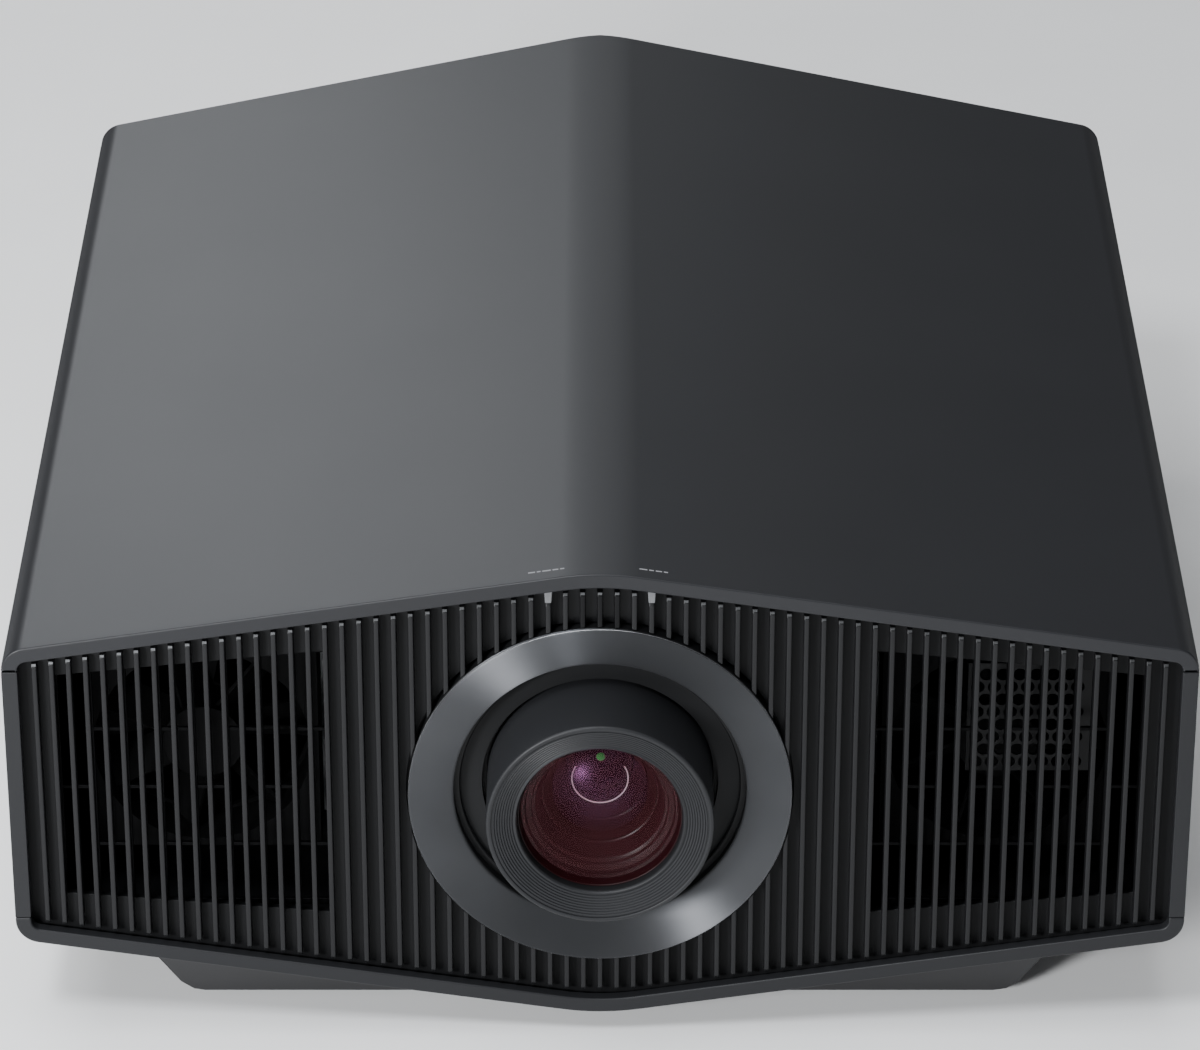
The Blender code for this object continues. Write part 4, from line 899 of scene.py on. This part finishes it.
def make_marks():
    """Two rows of plain printed dashes on the roof's front edge, over the light guides."""
    front, back = DASH_DEPTH
    for side, sign in (("left", -1), ("right", 1)):
        widths = DASHES[side]
        made = bmesh.new()
        start = sign * DASH_MIDDLE - (sum(widths) + DASH_GAP * (len(widths) - 1)) / 2
        for width in widths:
            stop = start + width
            z0 = roof_line(start) - DASH_SUNK
            z1 = roof_line(stop) - DASH_SUNK
            outline = [(start, z0), (stop, z1), (stop, z1 + DASH_THICKNESS), (start, z0 + DASH_THICKNESS)]
            add_prism(made, outline, front, back)
            start = stop + DASH_GAP
        piece("printed_mark_" + side, made, PRINTED, "housing")


# ---------------------------------------------------------------- lens

def turned_piece(name, profile, material, body, replaced=(), smooth=30, segments=LENS_SEGMENTS):
    made = bmesh.new()
    add_turned(made, profile, segments)
    return piece(name, made, material, body, replaced, smooth)


def make_trim():
    """A thin dished satin plate on a black body, with a polished edge, and the black shroud behind it."""
    plate = [(74.65, 2.5), (74.65, 1.5)]
    plate += arc(0.45, 0, -80, 4, (74.2, 1.3))
    plate += [(radius, PLATE_FRONT + RING_SLOPE * (PLATE_RADII[0] - radius)) for radius in PLATE_RADII]
    plate += [(RING_BORE + 0.5, 4.65), (RING_BORE + 0.15, 5.0), (RING_BORE, 5.5), (RING_BORE, 6.4)]
    plate += [(RING_BORE + 1.1, 6.4), (74.0, 2.5)]
    edge = [(74.28 + u, 1.32 + v) for u, v in arc(0.4, 0, 330, 11)]
    body = [(74.3, 2.7), (74.3, 10.0), (RING_BORE, 10.0), (RING_BORE + 0.2, 6.6)]
    body += [(RING_BORE + 1.2, 6.6), (73.9, 2.7)]
    parts = (
        ("trim_ring", plate, LOOKS["trim_satin"], 40),
        ("trim_edge", edge, POLISHED, 60),
        ("trim_body", body, LOOKS["shroud_black"], 30),
    )
    replaced = ["lens_trim_ring"]
    for name, profile, material, smooth in parts:
        turned_piece(name, profile, material, "housing", replaced, smooth, RING_SEGMENTS)
    shroud = [(84.0, 10.3), (55.0, 10.3), (54.6, 10.7), (54.6, 12.1), (55.0, 12.5), (71.2, 12.5)]
    shroud += [(71.2, 28.0), (73.4, 28.0), (73.4, 12.5), (84.0, 12.5)]
    turned_piece("shroud", shroud, LOOKS["shroud_black"], "housing", ["lens_shroud"], 40)


def make_barrel():
    """The front barrel, its skirt behind the shroud's lip, and turned baffle rings round the glass."""
    body = "horizontal_carriage"
    skirt = [(62.4, 14.5), (62.8, 14.2), (62.8, 13.4), (62.4, 13.1), (46.2, 13.1), (46.2, 18.0), (44.5, 18.0)]
    skirt += [(44.5, 19.5), (47.4, 19.5), (47.4, 14.5)]
    turned_piece("lens_skirt", skirt, SKIRT_BLACK, body, ["front_barrel"])
    profile = [(38.5, 28.0), (44.3, 28.0), (44.3, 20.0), (44.1, 19.0), (44.1, -19.2)]
    profile += arc(1.1, 0, -90, 6, (43.0, -19.4))
    profile += [(42.5, -20.5), (42.2, -20.3), (42.1, -19.8), (41.6, -19.8), (41.5, -20.1)]
    outer, front = BAFFLES_OUTER
    inner, back = BAFFLES_INNER
    width = (outer - inner) / BAFFLE_STEPS
    drop = (back - front) / BAFFLE_STEPS
    for i in range(BAFFLE_STEPS):
        radius = outer - (i + 1) * width
        depth = front + i * drop
        profile += [(radius + 0.45, depth + 0.12), (radius + 0.25, depth + drop + 0.15)]
        profile.append((radius, depth + drop))
    profile += [(33.2, -17.2), (32.8, -17.3), (32.4, -17.0), (32.15, -16.4), (32.0, -15.6), (32.0, -6.0)]
    profile.append((38.5, -2.0))
    turned_piece("barrel_nose", profile, LOOKS["barrel_matte"], body, ["front_barrel"], 40)


def dome(radius, edge, apex, flat, steps=16):
    """A lens's profile: a round front from the apex to the edge, and a flat back."""
    sag = edge - apex
    sphere = (radius**2 + sag**2) / (2.0 * sag)
    last = math.asin(radius / sphere)
    points = []
    for i in range(steps + 1):
        turn = last * i / steps
        points.append((sphere * math.sin(turn), apex + sphere * (1.0 - math.cos(turn))))
    points[0] = (0.0, apex)
    return points + [(radius, flat), (0.0, flat)]


def make_glass():
    """The front glass, and what shows through it: baffles, two inner glasses, a near-white arc that paints
    the lit edge of an inner glass, and a green bead whose colour paints a coloured reflection.
    """
    body = "horizontal_carriage"
    front = dome(31.6, -13.2, -17.4, -9.6)
    turned_piece("front_glass", front, LOOKS["coated_glass"], body, ["front_element"], 40)
    liner = [(32.2, -16.5), (31.85, -15.5), (31.7, -13.5), (32.2, -13.5), (32.2, -15.2), (32.45, -16.4)]
    turned_piece("glass_liner", liner, SKIRT_BLACK, body, (), 40)
    inside = [(32.0, -13.3), (31.5, -13.3), (31.1, -12.8), (30.5, -9.2), (29.3, -8.8), (28.9, -6.6)]
    inside += [(26.9, -6.0), (26.6, -5.6), (26.4, -4.2), (25.3, -3.8), (25.0, -3.4), (24.6, -1.0)]
    inside += [(22.6, 4.0), (22.0, 4.3), (21.8, 6.2), (18.6, 14.5), (18.0, 14.8), (17.8, 16.4)]
    inside += [(13.5, 28.0), (12.4, 28.2), (12.2, 29.4), (10.8, 31.0), (0.0, 31.0), (0.0, 33.0), (32.0, 33.0)]
    soften(turned_piece("lens_baffles", inside, LENS_INSIDE, body, (), 25), 0.12, 2, 40.0)
    turned_piece("second_element", dome(18.6, 6.0, -2.0, 9.0), HAZED_GLASS, body, (), 40)
    turned_piece("third_element", dome(10.2, 27.0, 24.0, 30.0), INNER_GLASS, body, (), 40)
    # A near-white arc low in the lens: a painted highlight for the lit edge of an inner glass.
    lit_edge = bmesh.new()
    add_turned(lit_edge, [(11.0 + u, 15.0 + v) for u, v in arc(0.27, 0, 330, 11)], LENS_SEGMENTS)
    faces = lit_edge.verts[:] + lit_edge.edges[:] + lit_edge.faces[:]
    bmesh.ops.bisect_plane(lit_edge, geom=faces, plane_co=(0, 0, 5.4), plane_no=(0, 0, 1), clear_outer=True)
    bmesh.ops.holes_fill(lit_edge, edges=lit_edge.edges[:])
    piece("painted_lit_edge", lit_edge, LIT_EDGE_PAINT, body, (), 60)
    # A small bright green bead: a painted reflection for the green ghost seen deep in the lens.
    bead = bmesh.new()
    add_turned(bead, dome(1.8, 24.9, 23.8, 25.3, 8), 48, "Y", (0.3, 3.9))
    piece("painted_ghost_bead", bead, GREEN_GHOST_PAINT, body, (), 40)


# ---------------------------------------------------------------- ports, buttons and screws

def rectangle(centre, half):
    u, v = centre
    wide, tall = half
    return [(u - wide, v - tall), (u + wide, v - tall), (u + wide, v + tall), (u - wide, v + tall)]


def merge(mesh_edit, part, place):
    """Adds one bmesh to another, moved by a matrix."""
    part.transform(place)
    mesh = bpy.data.meshes.new("part")
    part.to_mesh(mesh)
    part.free()
    mesh_edit.from_mesh(mesh)
    bpy.data.meshes.remove(mesh)


def facing(place, outward):
    """The matrix that moves something drawn on the Z axis to a place, facing outward."""
    return Matrix.Translation(Vector(place)) @ Vector(outward).to_track_quat("Z", "Y").to_matrix().to_4x4()


def add_screw(heads, crosses, place, outward):
    """A domed screw head, and the cross that is cut into it."""
    pose = facing(place, outward)
    radius = SCREW_RADIUS
    head = bmesh.new()
    add_turned(head, [(0.0, -0.4), (radius, -0.4), (radius, 0.4), (radius * 0.8, 0.75), (0.0, 0.9)], 28, "Z")
    merge(heads, head, pose)
    long, thin = radius * 0.55, radius * 0.13
    corner = [(thin, thin), (thin, long), (-thin, long), (-thin, thin), (-long, thin), (-long, -thin)]
    cross = bmesh.new()
    add_prism(cross, corner + [(-u, -v) for u, v in corner], 0.3, 1.6, "Z")
    merge(crosses, cross, pose)


def screws(name, places, material):
    """One piece with a screw at each place, given with the way it faces."""
    heads = bmesh.new()
    crosses = bmesh.new()
    for place, outward in places:
        add_screw(heads, crosses, place, outward)
    difference(piece(name, heads, material, "housing"), crosses)


def make_port(name, centre, half, mouth, front, back):
    """A metal socket shell, open to the side."""
    made = bmesh.new()
    add_prism(made, rectangle(centre, half), front, back, "X")
    shell = piece(name, made, LOOKS["steel"], "housing")
    cutter = bmesh.new()
    add_prism(cutter, rectangle(centre, mouth), front - 1.0, back - 1.0, "X")
    difference(shell, cutter)


def make_terminals():
    """The plate in the left recess, with network, data and jack ports beside the mains and video ones."""
    front, back = PORT_PLATE_X
    made = bmesh.new()
    add_prism(made, rectangle((385.0, PORT_ROW), (89.0, 25.0)), front, back, "X")
    plate = fixed_piece("port_plate", made, "terminal_metal", ["terminal_plate"])
    cutter = bmesh.new()
    for depth, half in PORT_HOLES:
        add_prism(cutter, rectangle((depth, PORT_ROW), half), front - 1.0, back + 1.0, "X")
    for place in JACK_PLACES:
        hole = [(0.0, front - 1.0), (3.3, front - 1.0), (3.3, back + 1.0), (0.0, back + 1.0)]
        add_turned(cutter, hole, JACK_SEGMENTS, "X", place)
    difference(plate, cutter)
    make_port("network_socket", (NETWORK_PORT, PORT_ROW), (7.9, 6.7), (5.9, 4.0), -226.3, -213.0)
    make_port("data_socket", (DATA_PORT, PORT_ROW), (6.5, 2.8), (6.0, 2.3), -226.1, -213.0)

    inserts = bmesh.new()
    add_box(inserts, (-224.5, NETWORK_PORT - 5.7, -17.2), (-214.4, NETWORK_PORT + 5.7, -16.2))
    add_box(inserts, (-223.5, DATA_PORT - 5.2, -12.9), (-213.9, DATA_PORT + 5.2, -11.4))
    for depth in VIDEO_PORTS:
        add_box(inserts, (-224.6, depth - 5.0, -13.5), (-213.6, depth + 5.0, -12.6))
    for place in JACK_PLACES:
        jack = [(0.0, -216.0), (1.75, -216.0), (1.75, -226.2), (2.0, -226.5), (2.9, -226.5), (3.2, -226.2)]
        add_turned(inserts, jack + [(3.2, -214.0), (0.0, -214.0)], JACK_SEGMENTS, "X", place)
    fixed_piece("port_inserts", inserts, "socket_black")

    contacts = bmesh.new()
    for i in range(8):
        depth = NETWORK_PORT + (i - 3.5) * NETWORK_PITCH
        add_box(contacts, (-223.5, depth - 0.25, -9.4), (-214.5, depth + 0.25, -9.1))
    for depth in VIDEO_PORTS:
        for i in range(9):
            middle = depth + (i - 4) * VIDEO_PITCH
            add_box(contacts, (-224.4, middle - 0.2, -12.65), (-214.0, middle + 0.2, -12.5))
    piece("port_contacts", contacts, LOOKS["brass"], "housing")

    blades = bmesh.new()
    for shift, rise in ((-7.0, -2.0), (0.0, 2.0), (7.0, -2.0)):
        depth, height = MAINS_INLET + shift, PORT_ROW + rise
        add_box(blades, (-219.2, depth - 1.1, height - 2.1), (-209.2, depth + 1.1, height + 2.1))
    soften(piece("inlet_blades", blades, LOOKS["steel"], "housing"), 0.3, 2)
    corners = [(front, depth, height) for depth in (306.0, 464.0) for height in (-29.0, 3.0)]
    screws("port_screws", [(place, (-1.0, 0.0, 0.0)) for place in corners], LOOKS["steel"])


def make_rear_details():
    """Screws in the rear panel and the plinth, and the grip on the filter cover."""
    places = []
    for sign in (-1.0, 1.0):
        spots = [(213.0, 50.0), (213.0, -50.0), (20.0, 82.0), (20.0, -82.0)]
        for x, height in spots + ([(71.0, 60.0), (71.0, -60.0)] if sign > 0 else []):
            places.append(((sign * x, rear_depth(x) - REAR_RECESS, height), (sign * REAR_LEAN, 1.0, 0.0)))
    screws("rear_screws", places, SCREW_BLACK)
    spots = [(x, depth, PLINTH_BOTTOM) for x in (-110.0, 110.0) for depth in (110.0, 245.0, 380.0)]
    screws("plinth_screws", [(place, (0.0, 0.0, -1.0)) for place in spots], SCREW_BLACK)

    grip = bmesh.new()
    x, height = GRIP_PLACE
    pose = facing((x, rear_depth(x) - REAR_RECESS, height), (REAR_LEAN, 1.0, 0.0))
    for step in range(3):
        part = bmesh.new()
        rise = step * GRIP_RIB_PITCH
        add_prism(part, rounded_rectangle(-14.0, 14.0, rise - 3.3, rise - 1.9, 0.69, 5), -0.3, 0.9, "Z")
        merge(grip, part, pose)
    soften(piece("filter_grip", grip, LOOKS["casing_rear"], "filter_cover"), 0.25, 2)


def make_icons():
    """Plain printed signs on the buttons: a power sign, three lines and four arrows round a ring."""
    face = BUTTON_FACE - 0.03
    proud = BUTTON_FACE + 0.04

    def sign(name, outlines, node):
        made = bmesh.new()
        for outline in outlines:
            add_prism(made, outline, face, proud, "X")
        piece(name, made, PRINTED, node)

    def open_ring(centre, radius, width, start, stop):
        return arc(radius + width, start, stop, 24, centre) + arc(radius, stop, start, 24, centre)

    power = [open_ring((POWER_DEPTH, BUTTON_HEIGHT), 1.9, 0.45, 125.0, 415.0)]
    power.append(rectangle((POWER_DEPTH, BUTTON_HEIGHT + 1.9), (0.24, 1.3)))
    sign("power_sign", power, "power_button")
    lines = [rectangle((MENU_DEPTH, BUTTON_HEIGHT + rise), (1.7, 0.2)) for rise in (-1.1, 0.0, 1.1)]
    sign("menu_sign", lines, "menu_button")
    arrows = []
    for quarter in range(4):
        turn = math.radians(90.0 * quarter)
        shape = [(7.2, -1.4), (8.9, 0.0), (7.2, 1.4)]
        cos, sin = math.cos(turn), math.sin(turn)
        arrows.append([(PAD_DEPTH + u * cos - v * sin, BUTTON_HEIGHT + u * sin + v * cos) for u, v in shape])
    for start, stop in ((0.0, 179.0), (181.0, 359.0)):
        arrows.append(open_ring((PAD_DEPTH, BUTTON_HEIGHT), 4.3, 0.3, start, stop))
    sign("cursor_signs", arrows, "cursor_pad")


# ---------------------------------------------------------------- carried-over solids

def dress_solids():
    """Gives each CAD solid that still shows its look and slightly rounded edges."""
    slots = {row["node"]: row["material_slot"] for row in frame["record"]["subparts"]}
    for name, node in frame["nodes"].items():
        if node.hide_render:
            continue
        node.data.materials.clear()
        node.data.materials.append(LOOKS[slots[name]])
        weld = node.modifiers.new("weld", "WELD")
        weld.merge_threshold = 0.01 * MM
        soften(node, 0.25, 2, 35.0)


# ---------------------------------------------------------------- stage

def make_stage():
    """A plain pale floor under the object."""
    made = bmesh.new()
    corners = rectangle((0.0, 0.0), (FLOOR_REACH, FLOOR_REACH))
    made.faces.new([made.verts.new((x, y, FLOOR_Z)) for x, y in corners])
    mesh = bpy.data.meshes.new("floor")
    made.to_mesh(mesh)
    made.free()
    floor = bpy.data.objects.new("floor", mesh)
    bpy.context.scene.collection.objects.link(floor)
    mesh.materials.append(plain("floor_paint", (0.86, 0.86, 0.86), 0.8, 0.01, 300.0, 0.01))


def area_light(name, place, target, size, power, colour):
    data = bpy.data.lights.new(name, "AREA")
    data.shape = "RECTANGLE"
    data.size, data.size_y = size
    data.energy = power
    data.color = colour
    made = bpy.data.objects.new(name, data)
    made.location = place
    aim = Vector(target) - Vector(place)
    made.rotation_mode = "QUATERNION"
    made.rotation_quaternion = aim.to_track_quat("-Z", "Y")
    bpy.context.scene.collection.objects.link(made)


def make_lights_and_camera():
    world = bpy.data.worlds.new("studio")
    world.use_nodes = True
    background = world.node_tree.nodes["Background"]
    background.inputs["Color"].default_value = (0.95, 0.97, 1.0, 1.0)
    background.inputs["Strength"].default_value = WORLD_STRENGTH
    bpy.context.scene.world = world
    for light in LIGHTS:
        area_light(*light)
    camera_data = bpy.data.cameras.new("camera")
    camera_data.sensor_width = CAMERA_SENSOR
    camera_data.lens = CAMERA_LENS
    camera_data.clip_end = 60.0
    camera = bpy.data.objects.new("camera", camera_data)
    camera.location = DATUM + Vector(CAMERA_PLACE) * MM
    camera.rotation_euler = (math.radians(CAMERA_TILT), 0.0, 0.0)
    bpy.context.scene.collection.objects.link(camera)
    bpy.context.scene.camera = camera


make_cover("top_cover", SEAM_TOP + GAP / 2, 1.0, "casing_top")
make_cover("bottom_cover", -SEAM_BOTTOM + GAP / 2, -1.0, "casing_lower")
make_sides()
make_grille()
make_lattice("guard_lattice_left", -1)
make_lattice("guard_lattice_right", 1)
make_screen()
make_light_guides()
make_marks()
make_trim()
make_barrel()
make_glass()
make_terminals()
make_rear_details()
make_icons()
dress_solids()
make_stage()
make_lights_and_camera()
